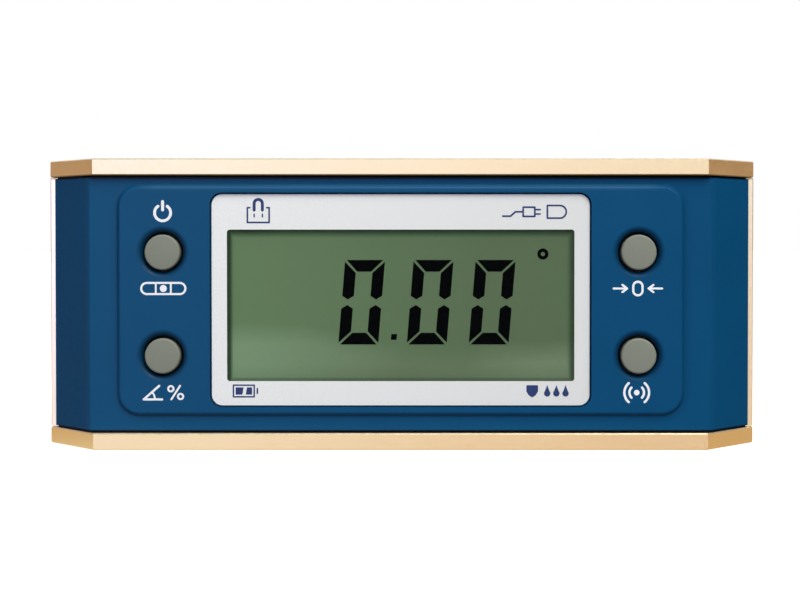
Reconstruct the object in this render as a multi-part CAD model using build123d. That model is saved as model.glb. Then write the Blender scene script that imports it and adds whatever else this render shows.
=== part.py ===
from build123d import *
from collections import namedtuple
import math
import os

# All sizes in millimetres. X runs along the level, Z up, and the display faces -Y.
# "Depth" below is measured backwards from the front edges of the rails.

Screw = namedtuple("Screw", "head_r head_h shank_r length")
SIDES = (-1, 1)

# How far a cutting shape runs past the surface it cuts.
CUT = 1.0

# Overall size.
LENGTH = 150.0
HEIGHT = 60.0
DEPTH = 32.0

# Metal frame: two rails and two end plates.
RAIL_T = 3.4
CORNER_CUT = 11.6
RAIL_CORNER_R = 0.3
EDGE_BREAK = 0.2
END_T = 3.0
END_GAP = 0.1

# Screws of the frame, the body's back and the boards.
FRAME_SCREW = Screw(head_r=2.8, head_h=1.7, shank_r=1.45, length=8.0)
COVER_SCREW = Screw(head_r=2.3, head_h=1.4, shank_r=1.2, length=11.0)
BOARD_SCREW = Screw(head_r=1.9, head_h=1.3, shank_r=0.95, length=6.0)
HOLE_CLEAR = 0.05
HEAD_CLEAR = 0.2
SCREW_SINK = 0.15
HEAD_SINK = 0.3
HEAD_RIM = 0.3
HEAD_ROUND = 0.55
TIP_L = 0.6
TIP_TAPER = 0.5
HEX_R = 1.15
HEX_DEPTH = 1.1
CROSS_DEPTH = 0.7
CROSS_W = 0.44
CROSS_REACH = 0.6
FRAME_SCREW_BACK = 4.0
RAIL_SCREW_INSET = 30.0
END_SCREW_WEB = 0.3

# Magnets let into the base rail, measured in from the rail's ends.
MAGNET_R = 4.0
MAGNET_T = 2.5
MAGNET_SINK = 0.15
MAGNET_EDGE = 0.2
MAGNET_GLUE = 0.05
MAGNET_INSETS = (12.0, 53.0)

# Moulded body between the rails.
FRONT_SETBACK = 1.5
CORNER_INSET = 0.45
SIDE_INSET = 1.24
RAIL_GAP = 0.4
SEAT_INSET = 0.5
WALL = 2.4
FRONT_WALL = 2.5
NOSE_R = 0.8
LIP_GAP = 0.1
COLUMN_R = 3.4
COLUMN_X = 5.0
COLUMN_Z = 2.6
COLUMN_PILOT = 10.0
FRAME_BOSS_R = 3.2
FRAME_BOSS_L = 5.0
FRAME_BOSS_END = 1.0
BOARD_BOSS_R = 2.6
BOARD_PILOT_PAST = 0.5

# Rear cover and its seal.
COVER_T = 3.2
COVER_SETBACK = 0.8
COVER_SKIN = 2.0
COVER_RIB = 1.4
COVER_BAYS = 6
COVER_R = 0.8
COVER_EDGE = 0.6
WELL_R = 1.0
SEAL_T = 0.8
SEAL_W = 1.8
SEAL_R = 1.2
EYELET_INSET = 0.2
EYELET_CLEAR = 0.4

# Raised panel on the front face; its outline is taken halfway up its sloping edge.
PANEL_RAISE = 0.7
PANEL_SIDE = 6.15
PANEL_TOP = 2.2
PANEL_BOTTOM = 3.75
PANEL_R = 4.4
PANEL_SLOPE = 45
PANEL_ROLL = 0.6
PANEL_FOOT = 0.15

# Clear lens with its printed white border.
LENS_SIDE = 19.16
LENS_TOP = 1.6
LENS_BOTTOM = 1.8
LENS_T = 0.58
LENS_R = 2.3
LENS_GAP = 0.25
LENS_SINK = 0.05
LENS_EDGE = 0.15
MASK_T = 0.15
MASK_INSET = 0.1
TAPE_T = 0.25
TAPE_INSET = 0.3
TAPE_EDGE = 0.2
BORDER_SIDE = 3.23
BORDER_TOP = 7.4
BORDER_BOTTOM = 5.1
WINDOW_R = 0.6

# Display stack behind the lens. The optic gap keeps clear faces from lying on the next piece.
OPTIC_GAP = 0.02
LCD_SIDE = 1.2
LCD_ENDS = 3.4
LCD_FIT = 0.15
GLASS_T = 1.08
FOAM_T = 0.5
VIEW_CLEAR = 0.4
FILM_T = 0.2
FILM_INSET = 0.2
GUIDE_T = 4.5
GUIDE_INSET = 0.4
LAMP_COUNT = 3
LAMP_L = 1.6
LAMP_W = 3.0
LAMP_H = 1.2
LAMP_INSET = 0.8
LAMP_CLEAR = 0.2
CONTACT_LEDGE = 2.9
STRIP_W = 1.8
STRIP_INSET = 2.0
HOLDER_WALL = 1.6
HOLDER_GAP = 0.1
HOLDER_R = 1.2
HOLDER_SETBACK = 0.1
PEG_R = 0.65
PEG_INSET = 4.0
PEG_ROOT = 0.5

# Keys.
KEY_R = 3.65
KEY_GAP = 0.5
KEY_EDGE = 9.17
KEY_PITCH = 21.4
KEY_PROUD = 0.5
KEY_TRAVEL = 1.0
KEY_STOP = 0.05
KEY_RIM = 1.3
KEY_RIB = 1.2
KEY_RIB_OUT = 3.6
CAP_CROWN = 0.12
CAP_EDGE = 0.35
CAP_EDGE_H = 0.45
STEM_INSET = 1.2
PILL_R = 2.2
PILL_T = 0.5
WEB_T = 1.6
WEB_R = 3.0
DOME_H = 1.8
DOME_T = 0.8
DOME_SPREAD = 2.0

# Main circuit board.
BOARD_T = 1.6
BOARD_END = 2.5
BOARD_CLEAR = 1.2
BOARD_R = 1.0
BOARD_SCREW_X = 2.2
BOARD_SCREW_Z = 10.0
NOTCH_CLEAR = 0.8

# Charging port in the right end: recess for the plug, insert, hinged flap.
PORT_SETBACK = 7.8
PLUG_H = 11.4
PLUG_W = 7.6
RECESS_R = 0.5
CUP_WALL = 1.2
CUP_DEPTH = 7.1
CUP_R = 1.4
CUP_ROOT = 0.5
FRAME_SINK = 0.1
FRAME_WALL = 1.2
FRAME_FRONT = 0.6
FRAME_BACK = 0.9
FRAME_R = 1.9
REBATE = 1.6
FIT = 0.1
FLAP_SIDE = 1.5
FLAP_GAP = 0.2
FLAP_T = 1.35
FLAP_SEAT = 0.05
FLAP_R = 1.2
HINGE_SETBACK = 2.4
HINGE_DEPTH = 1.1
HINGE_R = 0.7
HINGE_CLEAR = 0.05
HINGE_ROOM = 0.15
HINGE_BACK = 1.7
PIN_POCKET_END = 0.3
PIN_PLAY = 0.1
SKIRT_T = 0.9
SKIRT_H = 0.8
SKIRT_FIT = 0.15
SKIRT_SWING = 0.35
SKIRT_ROOT = 0.2
SKIRT_INNER_R = 0.3
GRIP_COUNT = 3
GRIP_EDGE = 1.2
GRIP_STEP = 1.1
GRIP_W = 0.5
GRIP_DEPTH = 0.25
GRIP_HALF = 3.5

# Charging socket and the small board that carries it.
SOCKET_H = 7.5
SOCKET_W = 2.6
SOCKET_L = 5.6
SOCKET_R = 0.6
SOCKET_SINK = 0.4
SOCKET_FIT = 0.2
SHELL_T = 0.35
SHELL_BACK = 0.8
SHELL_INNER_R = 0.4
TONGUE_T = 0.6
TONGUE_H = 3.8
TONGUE_SINK = 0.8
TONGUE_SHIFT = 0.2
TAB_L = 1.6
TAB_T = 0.4
TAB_H = 0.7
CHARGE_T = 1.2
CHARGE_L = 17.2
CHARGE_H = 16.0
CHARGE_R = 0.8
CHARGE_GAP = 0.5
SPACER_R = 2.3
SPACER_X = 3.0
SPACER_Z = 2.5
SPACER_THREAD = 5.5
HEADER_X = 5.0
HEADER_W = 2.4
HEADER_H = 2.5
HEADER_END = 1.2
PIN_COUNT = 5
PIN_PITCH = 2.0
PIN_W = 0.64
PIN_ROOT = 1.0

# Rechargeable round cell with its holder and spring leaves.
CELL_R = 7.1
CELL_L = 50.0
CELL_EDGE = 0.5
CELL_GROOVE_X = 4.1
CELL_GROOVE_W = 0.5
CELL_GROOVE_DEPTH = 0.7
CELL_CRIMP = 0.6
CELL_NUB_R = 2.7
CELL_NUB_H = 1.0
CELL_CLEAR = 0.1
LEAF_GAP = 1.2
LEAF_T = 0.4
LEAF_W = 8.0
LEAF_RISE = 4.0
DIMPLE_R = 2.4
DIMPLE_TOP_R = 1.4
DIMPLE_CLEAR = 0.1
TRAY_WALL = 1.2
TRAY_FLOOR = 1.0
TRAY_LIFT = 2.7
TRAY_RISE = 1.5
CRADLE_COUNT = 5
CRADLE_STEP = 11.0
CRADLE_T = 2.0
CRADLE_DROP = 2.0
SNAP_X = 15.0
SNAP_W = 10.0
SNAP_DROP = 3.0

# Parts on the back of the main board; the places are measured from the display's ends and the board's top.
BUZZER_R = 6.0
BUZZER_H = 6.5
BUZZER_X = 6.6
BUZZER_Z = 10.0
BUZZER_EDGE = 0.6
BUZZER_HOLE_R = 1.1
BUZZER_HOLE_DEPTH = 1.0
SENSOR_W = 9.0
SENSOR_H = 1.8
SENSOR_X = 6.6
SENSOR_Z = 11.0
SENSOR_EDGE = 0.5
SENSOR_LID_W = 7.8
SENSOR_LID_H = 0.5
SENSOR_LID_EDGE = 0.8
CHIP_W = 10.0
CHIP_H = 1.4
CHIP_Z = 12.0
CHIP_LIFT = 0.1
CHIP_EDGE = 0.4
LEAD_COUNT = 10
LEAD_PITCH = 0.9
LEAD_W = 0.34
LEAD_T = 0.25
LEAD_LIFT = 0.5
LEAD_KNEE = 0.5
LEAD_FOOT = 1.1
LEAD_ROOT = 0.1
SMALL_CASE = (1.6, 0.8)
MIDDLE_CASE = (2.0, 1.2)
LARGE_CASE = (3.2, 1.6)
SMALL_SPOTS = ((-11.0, 4.0), (-11.0, 1.5), (-11.0, -1.0), (16.5, 3.0), (-20.0, 3.0))
MIDDLE_SPOTS = ((11.0, 4.0), (11.0, 1.0))
LARGE_SPOTS = ((14.5, -3.0), (-15.0, -3.0))
CRYSTAL_X = 21.25
CRYSTAL_Z = -2.75
CRYSTAL_L = 7.5
CRYSTAL_W = 3.5
CRYSTAL_H = 2.6
CRYSTAL_R = 1.2

# Places that follow from the sizes above: frame and body.
half_length = LENGTH / 2
mid_z = HEIGHT / 2
side_x = half_length - END_T
lip_x = half_length - SIDE_INSET
front_x = half_length - CORNER_CUT + FRONT_SETBACK - CORNER_INSET
lip_t = FRONT_SETBACK + lip_x - front_x
cover_back_t = DEPTH - COVER_SETBACK
cover_t = cover_back_t - COVER_T
cover_head_t = cover_back_t - COVER_SCREW.head_h - HEAD_SINK
rim_t = cover_t - SEAL_T
inner_t = FRONT_SETBACK + FRONT_WALL
cavity_x = side_x - WALL
cavity_z0 = RAIL_T + WALL
cavity_z1 = HEIGHT - RAIL_T - WALL
column_x = cavity_x - COLUMN_X
column_zs = (cavity_z0 + COLUMN_Z, cavity_z1 - COLUMN_Z)
columns = [(side * column_x, z) for side in SIDES for z in column_zs]
frame_screw_t = DEPTH / 2 + FRAME_SCREW_BACK
rail_screw_xs = [side * (half_length - RAIL_SCREW_INSET) for side in SIDES]
magnet_xs = [side * (half_length - inset) for side in SIDES for inset in MAGNET_INSETS]

# Front panel and lens.
panel_t = FRONT_SETBACK - PANEL_RAISE
panel_x = front_x - PANEL_SIDE
panel_z0 = RAIL_T + PANEL_BOTTOM
panel_z1 = HEIGHT - RAIL_T - PANEL_TOP
lens_x = panel_x - LENS_SIDE
lens_z0 = panel_z0 + LENS_BOTTOM
lens_z1 = panel_z1 - LENS_TOP
lens_t = panel_t + LENS_SINK
mask_t = lens_t + LENS_T + OPTIC_GAP
tape_t = mask_t + MASK_T
ledge_t = tape_t + TAPE_T
window_x = lens_x - BORDER_SIDE
window_z0 = lens_z0 + BORDER_BOTTOM
window_z1 = lens_z1 - BORDER_TOP

# Display stack and main board.
lcd_x = window_x + LCD_SIDE
lcd_z0 = window_z0 - LCD_ENDS
lcd_z1 = window_z1 + LCD_ENDS
lcd_t = tape_t + FOAM_T
rear_glass_t = lcd_t + GLASS_T + OPTIC_GAP
film_t = rear_glass_t + GLASS_T + OPTIC_GAP
guide_t = film_t + FILM_T
ledge_z0 = lcd_z0 + CONTACT_LEDGE
ledge_z1 = lcd_z1 - CONTACT_LEDGE
board_t = guide_t + GUIDE_T
board_back_t = board_t + BOARD_T
board_x = front_x - FRONT_SETBACK + board_t - WALL * math.sqrt(2) - BOARD_END
board_z0 = cavity_z0 + BOARD_CLEAR
board_z1 = cavity_z1 - BOARD_CLEAR
board_screw_x = panel_x + BOARD_SCREW_X
board_screw_spots = [(sx * board_screw_x, mid_z + sz * BOARD_SCREW_Z) for sx in SIDES for sz in SIDES]
peg_x = lcd_x + HOLDER_GAP + HOLDER_WALL / 2
peg_spots = [(side * peg_x, z) for side in SIDES for z in (lcd_z0 + PEG_INSET, lcd_z1 - PEG_INSET)]
lamp_zs = [window_z0 + (window_z1 - window_z0) * k / (LAMP_COUNT + 1) for k in range(1, LAMP_COUNT + 1)]

# Keys.
key_x = panel_x - KEY_EDGE
key_z0 = mid_z - KEY_PITCH / 2
key_z1 = mid_z + KEY_PITCH / 2
key_places = {
    "power": (-key_x, key_z1),
    "tilt": (-key_x, key_z0),
    "zero": (key_x, key_z1),
    "sound": (key_x, key_z0),
}
bore_r = KEY_R + KEY_GAP
key_t = panel_t - KEY_PROUD
web_t = board_t - WEB_T
shoulder_t = web_t - DOME_H
pill_t = board_t - KEY_TRAVEL - KEY_STOP - PILL_T
rib_r = KEY_R + KEY_RIB_OUT

# Charging port. The screws of the end plates stand clear of its insert.
port_t = CORNER_CUT + PORT_SETBACK
recess_t0 = port_t - PLUG_W / 2
recess_t1 = port_t + PLUG_W / 2
recess_h = PLUG_H / 2
cup_h = recess_h + CUP_WALL
frame_x = half_length - FRAME_SINK
rebate_x = half_length - REBATE
cup_x = half_length - CUP_DEPTH
hinge_x = half_length - HINGE_DEPTH
hinge_t = recess_t1 + HINGE_SETBACK
flap_t0 = recess_t0 - FLAP_SIDE
flap_h = recess_h + FLAP_SIDE
rebate_t0 = flap_t0 - FLAP_GAP
rebate_t1 = hinge_t + HINGE_BACK
rebate_h = flap_h + FLAP_GAP
frame_t0 = rebate_t0 - FRAME_FRONT
frame_t1 = rebate_t1 + FRAME_BACK
frame_h = rebate_h + FRAME_WALL
pin_pocket_h = frame_h - PIN_POCKET_END
socket_t0 = port_t - SOCKET_W / 2
socket_t1 = port_t + SOCKET_W / 2
charge_t = socket_t0 - CHARGE_T
charge_back_t = charge_t + CHARGE_T
charge_x1 = cup_x - CUP_WALL - CHARGE_GAP
charge_x0 = charge_x1 - CHARGE_L
spacer_x = charge_x0 + SPACER_X
spacer_spots = [(spacer_x, mid_z + side * (CHARGE_H / 2 - SPACER_Z)) for side in SIDES]
end_screw_h = frame_h + FIT + END_SCREW_WEB + HEAD_CLEAR + FRAME_SCREW.head_r
end_screw_zs = (mid_z - end_screw_h, mid_z + end_screw_h)

# Round cell.
cell_z = cavity_z0 + TRAY_LIFT + TRAY_WALL + CELL_CLEAR + CELL_R
cell_t = board_back_t + TRAY_FLOOR + CELL_CLEAR + CELL_R
leaf_x = CELL_L / 2 + LEAF_GAP


def y_at(depth):
    return depth - DEPTH / 2


def front_plane(depth):
    """The plane seen from the front at a depth; what is drawn on it grows forwards."""
    return Plane(origin=(0, y_at(depth), 0), x_dir=(1, 0, 0), z_dir=(0, -1, 0))


def slab(sketch, t0, t1):
    """A sketch drawn as seen from the front, made solid between two depths."""
    return extrude(front_plane(t1) * sketch, amount=t1 - t0)


def rounded(x0, x1, z0, z1, radius):
    return Pos((x0 + x1) / 2, (z0 + z1) / 2) * RectangleRounded(x1 - x0, z1 - z0, radius)


def plain(x0, x1, z0, z1):
    return Pos((x0 + x1) / 2, (z0 + z1) / 2) * Rectangle(x1 - x0, z1 - z0)


def lens_outline(grow):
    return rounded(-lens_x - grow, lens_x + grow, lens_z0 - grow, lens_z1 + grow, LENS_R + grow)


def window_outline(grow):
    return rounded(-window_x - grow, window_x + grow, window_z0 - grow, window_z1 + grow, WINDOW_R + grow)


def lcd_outline(grow):
    return plain(-lcd_x - grow, lcd_x + grow, lcd_z0 - grow, lcd_z1 + grow)


def rod(x, z, radius, t0, t1):
    return slab(Pos(x, z) * Circle(radius), t0, t1)


def rod_x(t, z, radius, x0, x1):
    plane = Plane(origin=(min(x0, x1), y_at(t), z), x_dir=(0, 1, 0), z_dir=(1, 0, 0))
    return extrude(plane * Circle(radius), amount=abs(x1 - x0))


def rod_z(x, t, radius, z0, z1):
    return extrude(Pos(x, y_at(t), z0) * Circle(radius), amount=z1 - z0)


def block(x0, x1, t0, t1, z0, z1):
    middle = Pos((x0 + x1) / 2, y_at((t0 + t1) / 2), (z0 + z1) / 2)
    return middle * Box(abs(x1 - x0), abs(t1 - t0), abs(z1 - z0))


def end_slab(t0, t1, half, x0, x1, radius):
    """A rounded block lying along X about half height, its outline drawn as seen from the end."""
    plane = Plane(origin=(x0, y_at((t0 + t1) / 2), mid_z), x_dir=(0, 1, 0), z_dir=(1, 0, 0))
    return extrude(plane * RectangleRounded(t1 - t0, 2 * half, radius), amount=x1 - x0)


def plan_prism(right_half, z0, z1):
    """A solid whose outline from above is right_half, as (x, depth), and its mirror image."""
    left_half = [(-x, t) for x, t in reversed(right_half)]
    points = [(x, y_at(t)) for x, t in right_half + left_half]
    return extrude(Pos(0, 0, z0) * Polygon(*points, align=None), amount=z1 - z0)


def turned(profile, x, z):
    """A face drawn as (radius, depth), turned about the line through x and z."""
    return Pos(x, y_at(0), z) * revolve(profile, Axis.Y)


def upright_turned(outline):
    """An outline given as (radius, height), turned about the vertical."""
    points = [(r, 0, h) for r, h in outline]
    return revolve(make_face(Polyline(*points, close=True).edges()), Axis.Z)


def group(shapes):
    return Compound(children=[solid for shape in shapes for solid in shape.solids()])


def countersunk_screw(origin, outward):
    """A hex-socket screw with its head level with the origin."""
    head_r, head_h, shank_r, length = FRAME_SCREW
    outline = [
        (0, 0),
        (head_r, 0),
        (head_r, -HEAD_RIM),
        (shank_r, -head_h),
        (shank_r, TIP_L - length),
        (shank_r - TIP_TAPER, -length),
        (0, -length),
    ]
    screw = upright_turned(outline) - extrude(RegularPolygon(HEX_R, 6), amount=-HEX_DEPTH)
    return Plane(origin=origin, z_dir=outward) * screw


def countersink(origin, outward, depth):
    """The hole a countersunk screw goes through, from the outer face down."""
    hole_r = FRAME_SCREW.shank_r + HEAD_CLEAR
    head_r = FRAME_SCREW.head_r + HEAD_CLEAR
    outline = [
        (0, CUT),
        (head_r, CUT),
        (head_r, -SCREW_SINK - HEAD_RIM - HEAD_CLEAR),
        (hole_r, -SCREW_SINK - FRAME_SCREW.head_h - HEAD_CLEAR),
        (hole_r, -depth - CUT),
        (0, -depth - CUT),
    ]
    return Plane(origin=origin, z_dir=outward) * upright_turned(outline)


def pan_screw(size, x, z, seat):
    """A cross-head screw driven from the back, its head resting on the depth given as seat."""
    top = seat + size.head_h
    head = rod(x, z, size.head_r, seat, top)
    head = fillet(head.edges().sort_by(Axis.Y)[-1], size.head_h * HEAD_ROUND)
    screw = head + rod(x, z, size.shank_r, seat - size.length, seat)
    reach = size.head_r * CROSS_REACH
    w = CROSS_W / 2
    screw -= block(x - reach, x + reach, top - CROSS_DEPTH, top + CUT, z - w, z + w)
    screw -= block(x - w, x + w, top - CROSS_DEPTH, top + CUT, z - reach, z + reach)
    return screw


def rail_blank(z0, z1):
    """A rail with both front corners cut off and all its edges broken."""
    nose = half_length - CORNER_CUT
    rail = plan_prism([(nose, 0), (half_length, CORNER_CUT), (half_length, DEPTH)], z0, z1)
    rail = fillet(rail.edges().filter_by(Axis.Z), RAIL_CORNER_R)
    return chamfer(rail.faces().filter_by(Axis.Z).edges(), EDGE_BREAK)


def top_rail():
    rail = rail_blank(HEIGHT - RAIL_T, HEIGHT)
    for x in rail_screw_xs:
        rail -= countersink((x, y_at(frame_screw_t), HEIGHT), (0, 0, 1), RAIL_T)
    return rail


def base_rail():
    rail = rail_blank(0, RAIL_T)
    for x in rail_screw_xs:
        rail -= countersink((x, y_at(frame_screw_t), 0), (0, 0, -1), RAIL_T)
    for x in magnet_xs:
        rail -= rod_z(x, DEPTH / 2, MAGNET_R + MAGNET_GLUE, -CUT, MAGNET_SINK + MAGNET_T)
    return rail


def base_magnets():
    discs = [rod_z(x, DEPTH / 2, MAGNET_R, MAGNET_SINK, MAGNET_SINK + MAGNET_T) for x in magnet_xs]
    return group([chamfer(disc.edges(), MAGNET_EDGE) for disc in discs])


def plain_end_plate():
    """An end plate at the right end with its two screw holes."""
    plate = block(side_x, half_length, CORNER_CUT, DEPTH, RAIL_T + END_GAP, HEIGHT - RAIL_T - END_GAP)
    plate = chamfer(plate.faces().sort_by(Axis.X)[-1].edges(), EDGE_BREAK)
    for z in end_screw_zs:
        plate -= countersink((half_length, y_at(frame_screw_t), z), (1, 0, 0), END_T)
    return plate


def left_end_plate():
    return mirror(plain_end_plate(), Plane.YZ)


def right_end_plate():
    """The end plate with the hole for the charging port's insert."""
    t0 = frame_t0 - FIT
    t1 = frame_t1 + FIT
    hole = end_slab(t0, t1, frame_h + FIT, side_x - CUT, half_length + CUT, FRAME_R + FIT)
    return plain_end_plate() - hole


def rail_screws(z, outward):
    return group([countersunk_screw((x, y_at(frame_screw_t), z), outward) for x in rail_screw_xs])


def end_plate_screws():
    screws = []
    for side in SIDES:
        for z in end_screw_zs:
            spot = (side * (half_length - SCREW_SINK), y_at(frame_screw_t), z)
            screws.append(countersunk_screw(spot, (side, 0, 0)))
    return group(screws)


def raised_panel():
    """The panel on the front face, its sloping edge rolled over at the brow."""
    grow = PANEL_RAISE / 2
    foot = rounded(-panel_x - grow, panel_x + grow, panel_z0 - grow, panel_z1 + grow, PANEL_R + grow)
    panel = extrude(front_plane(FRONT_SETBACK) * foot, amount=PANEL_RAISE, taper=PANEL_SLOPE)
    return fillet(panel.faces().sort_by(Axis.Y)[0].edges(), PANEL_ROLL)


def panel_foot(body):
    """The edges where the raised panel meets the front face."""
    front = body.edges().filter_by_position(Axis.Y, y_at(FRONT_SETBACK), y_at(FRONT_SETBACK))
    front = front.filter_by_position(Axis.Z, panel_z0 - PANEL_RAISE, panel_z1 + PANEL_RAISE)
    return front.filter_by_position(Axis.X, -panel_x - PANEL_RAISE, panel_x + PANEL_RAISE)


def housing_block():
    """The moulded body's outer form: skin with cut corners, seat against the rails and raised panel."""
    lip_end = CORNER_CUT - LIP_GAP
    skin = [(front_x, FRONT_SETBACK), (lip_x, lip_t), (lip_x, lip_end), (side_x, lip_end), (side_x, rim_t)]
    body = plan_prism(skin, RAIL_T + RAIL_GAP, HEIGHT - RAIL_T - RAIL_GAP)
    body = fillet(body.edges().filter_by(Axis.Z).group_by(Axis.Y)[0], NOSE_R)
    body += raised_panel()
    body = fillet(panel_foot(body), PANEL_FOOT)
    slope = front_x - FRONT_SETBACK - SEAT_INSET * math.sqrt(2)
    seat_x = lip_x - SEAT_INSET
    seat = [(slope + inner_t, inner_t), (seat_x, seat_x - slope), (seat_x, lip_end)]
    seat += [(side_x, lip_end), (side_x, rim_t)]
    return body + plan_prism(seat, RAIL_T, HEIGHT - RAIL_T)


def housing_hollow():
    inside = front_x - FRONT_SETBACK - WALL * math.sqrt(2)
    hollow = [(inside + inner_t, inner_t), (cavity_x, cavity_x - inside), (cavity_x, rim_t + CUT)]
    return plan_prism(hollow, cavity_z0, cavity_z1)


def housing_bosses():
    """Columns for the cover screws, bosses for every other screw and the ribs round the keys."""
    parts = [rod(x, z, COLUMN_R, inner_t, rim_t) for x, z in columns]
    parts += [rod(x, z, BOARD_BOSS_R, inner_t - CUT, board_t) for x, z in board_screw_spots]
    for side in SIDES:
        for z in end_screw_zs:
            ends = (side * (cavity_x - FRAME_BOSS_L), side * (cavity_x + CUT))
            parts.append(rod_x(frame_screw_t, z, FRAME_BOSS_R, *ends))
    for x in rail_screw_xs:
        parts.append(rod_z(x, frame_screw_t, FRAME_BOSS_R, cavity_z0 - CUT, cavity_z0 + FRAME_BOSS_L))
        parts.append(rod_z(x, frame_screw_t, FRAME_BOSS_R, cavity_z1 - FRAME_BOSS_L, cavity_z1 + CUT))
    for x, z in key_places.values():
        well = rod(x, z, rib_r - KEY_RIB, inner_t - 2 * CUT, web_t + CUT)
        parts.append(rod(x, z, rib_r, inner_t - CUT, web_t) - well)
    return parts


def housing_pilots():
    """The plain holes the screws cut their thread in."""
    deep = FRAME_BOSS_L - FRAME_BOSS_END
    frame_r = FRAME_SCREW.shank_r + HOLE_CLEAR
    column_r = COVER_SCREW.shank_r + HOLE_CLEAR
    board_r = BOARD_SCREW.shank_r + HOLE_CLEAR
    holes = [rod(x, z, column_r, rim_t - COLUMN_PILOT, rim_t + CUT) for x, z in columns]
    holes += [rod(x, z, board_r, inner_t - BOARD_PILOT_PAST, board_t + CUT) for x, z in board_screw_spots]
    for side in SIDES:
        for z in end_screw_zs:
            holes.append(rod_x(frame_screw_t, z, frame_r, side * (cavity_x - deep), side * (side_x + CUT)))
    for x in rail_screw_xs:
        holes.append(rod_z(x, frame_screw_t, frame_r, RAIL_T - CUT, cavity_z0 + deep))
        holes.append(rod_z(x, frame_screw_t, frame_r, cavity_z1 - deep, HEIGHT - RAIL_T + CUT))
    return holes


def front_housing():
    """The front moulding: shell, bosses, lens seat, display opening, rolled key holes and port opening."""
    outer = housing_block()
    body = outer - housing_hollow()
    for boss in housing_bosses():
        body += boss & outer
    for pilot in housing_pilots():
        body -= pilot
    for x, z in key_places.values():
        body -= rod(x, z, bore_r, panel_t - CUT, inner_t + CUT)
    mouths = body.edges().filter_by(GeomType.CIRCLE)
    mouths = mouths.filter_by_position(Axis.Y, y_at(panel_t), y_at(panel_t))
    body = fillet(mouths, KEY_RIM)
    body -= slab(lens_outline(LENS_GAP), panel_t - CUT, ledge_t)
    body -= slab(lcd_outline(LCD_FIT), panel_t - CUT, inner_t + CUT)
    room = CUP_WALL + FIT
    t0 = recess_t0 - room
    t1 = recess_t1 + room
    return body - end_slab(t0, t1, cup_h + FIT, cavity_x - CUT, side_x + CUT, CUP_R + FIT)


def housing_seal():
    """Flat seal on the rim of the body, with an eyelet round each cover screw."""
    x1 = side_x - (WALL - SEAL_W) / 2
    z0 = RAIL_T + (WALL - SEAL_W) / 2
    z1 = HEIGHT - z0
    ring = rounded(-x1, x1, z0, z1, SEAL_R)
    ring -= plain(-x1 + SEAL_W, x1 - SEAL_W, z0 + SEAL_W, z1 - SEAL_W)
    for x, z in columns:
        ring += Pos(x, z) * Circle(COLUMN_R - EYELET_INSET)
    for x, z in columns:
        ring -= Pos(x, z) * Circle(COVER_SCREW.shank_r + EYELET_CLEAR)
    return slab(ring, rim_t, cover_t)


def rear_cover():
    """The back, with stiffening ribs between its wells and sunk seats for the screw heads."""
    cover = slab(rounded(-side_x, side_x, RAIL_T, HEIGHT - RAIL_T, COVER_R), cover_t, cover_back_t)
    cover = chamfer(cover.faces().sort_by(Axis.Y)[-1].edges(), COVER_EDGE)
    rib = COVER_RIB / 2
    wells = rounded(-cavity_x, cavity_x, cavity_z0, cavity_z1, WELL_R)
    wells -= plain(-cavity_x, cavity_x, mid_z - rib, mid_z + rib)
    for i in range(1, COVER_BAYS):
        x = cavity_x * (2 * i / COVER_BAYS - 1)
        wells -= plain(x - rib, x + rib, cavity_z0, cavity_z1)
    for x, z in columns:
        wells -= Pos(x, z) * Circle(COLUMN_R)
    cover -= slab(wells, cover_t - CUT, cover_back_t - COVER_SKIN)
    for x, z in columns:
        cover -= rod(x, z, COVER_SCREW.shank_r + HEAD_CLEAR, cover_t - CUT, cover_back_t + CUT)
        cover -= rod(x, z, COVER_SCREW.head_r + HEAD_CLEAR, cover_head_t, cover_back_t + CUT)
    return cover


def cover_screws():
    return group([pan_screw(COVER_SCREW, x, z, cover_head_t) for x, z in columns])


def display_lens():
    lens = slab(lens_outline(0), lens_t, lens_t + LENS_T)
    return chamfer(lens.faces().sort_by(Axis.Y)[0].edges(), LENS_EDGE)


def display_mask():
    """The white border printed on the back of the lens."""
    return slab(lens_outline(-MASK_INSET) - window_outline(0), mask_t, tape_t)


def lens_tape():
    """Adhesive frame between the printed border and the ledge in the body."""
    return slab(lens_outline(-TAPE_INSET) - lcd_outline(LCD_FIT + TAPE_EDGE), tape_t, ledge_t)


def lcd_foam():
    """Gasket that presses the glass back from the printed border."""
    return slab(lcd_outline(0) - window_outline(VIEW_CLEAR), tape_t, lcd_t)


def lcd_front_glass():
    return slab(lcd_outline(0), lcd_t, lcd_t + GLASS_T)


def lcd_rear_glass():
    return slab(plain(-lcd_x, lcd_x, ledge_z0, ledge_z1), rear_glass_t, rear_glass_t + GLASS_T)


def lcd_rear_film():
    x = lcd_x - FILM_INSET
    return slab(plain(-x, x, ledge_z0 + FILM_INSET, ledge_z1 - FILM_INSET), film_t, guide_t)


def light_guide():
    """Clear plate that spreads the light of the side lamps, with a pocket for each lamp."""
    x = lcd_x - GUIDE_INSET
    guide = slab(plain(-x, x, ledge_z0 + FILM_INSET, ledge_z1 - FILM_INSET), guide_t, board_t)
    x0 = lcd_x - LAMP_INSET - LAMP_L - LAMP_CLEAR
    half = LAMP_W / 2 + LAMP_CLEAR
    for z in lamp_zs:
        guide -= block(x0, lcd_x + CUT, board_t - LAMP_H - LAMP_CLEAR, board_t + CUT, z - half, z + half)
    return guide


def backlight_lamps():
    x1 = lcd_x - LAMP_INSET
    half = LAMP_W / 2
    return group([block(x1 - LAMP_L, x1, board_t - LAMP_H, board_t, z - half, z + half) for z in lamp_zs])


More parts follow.
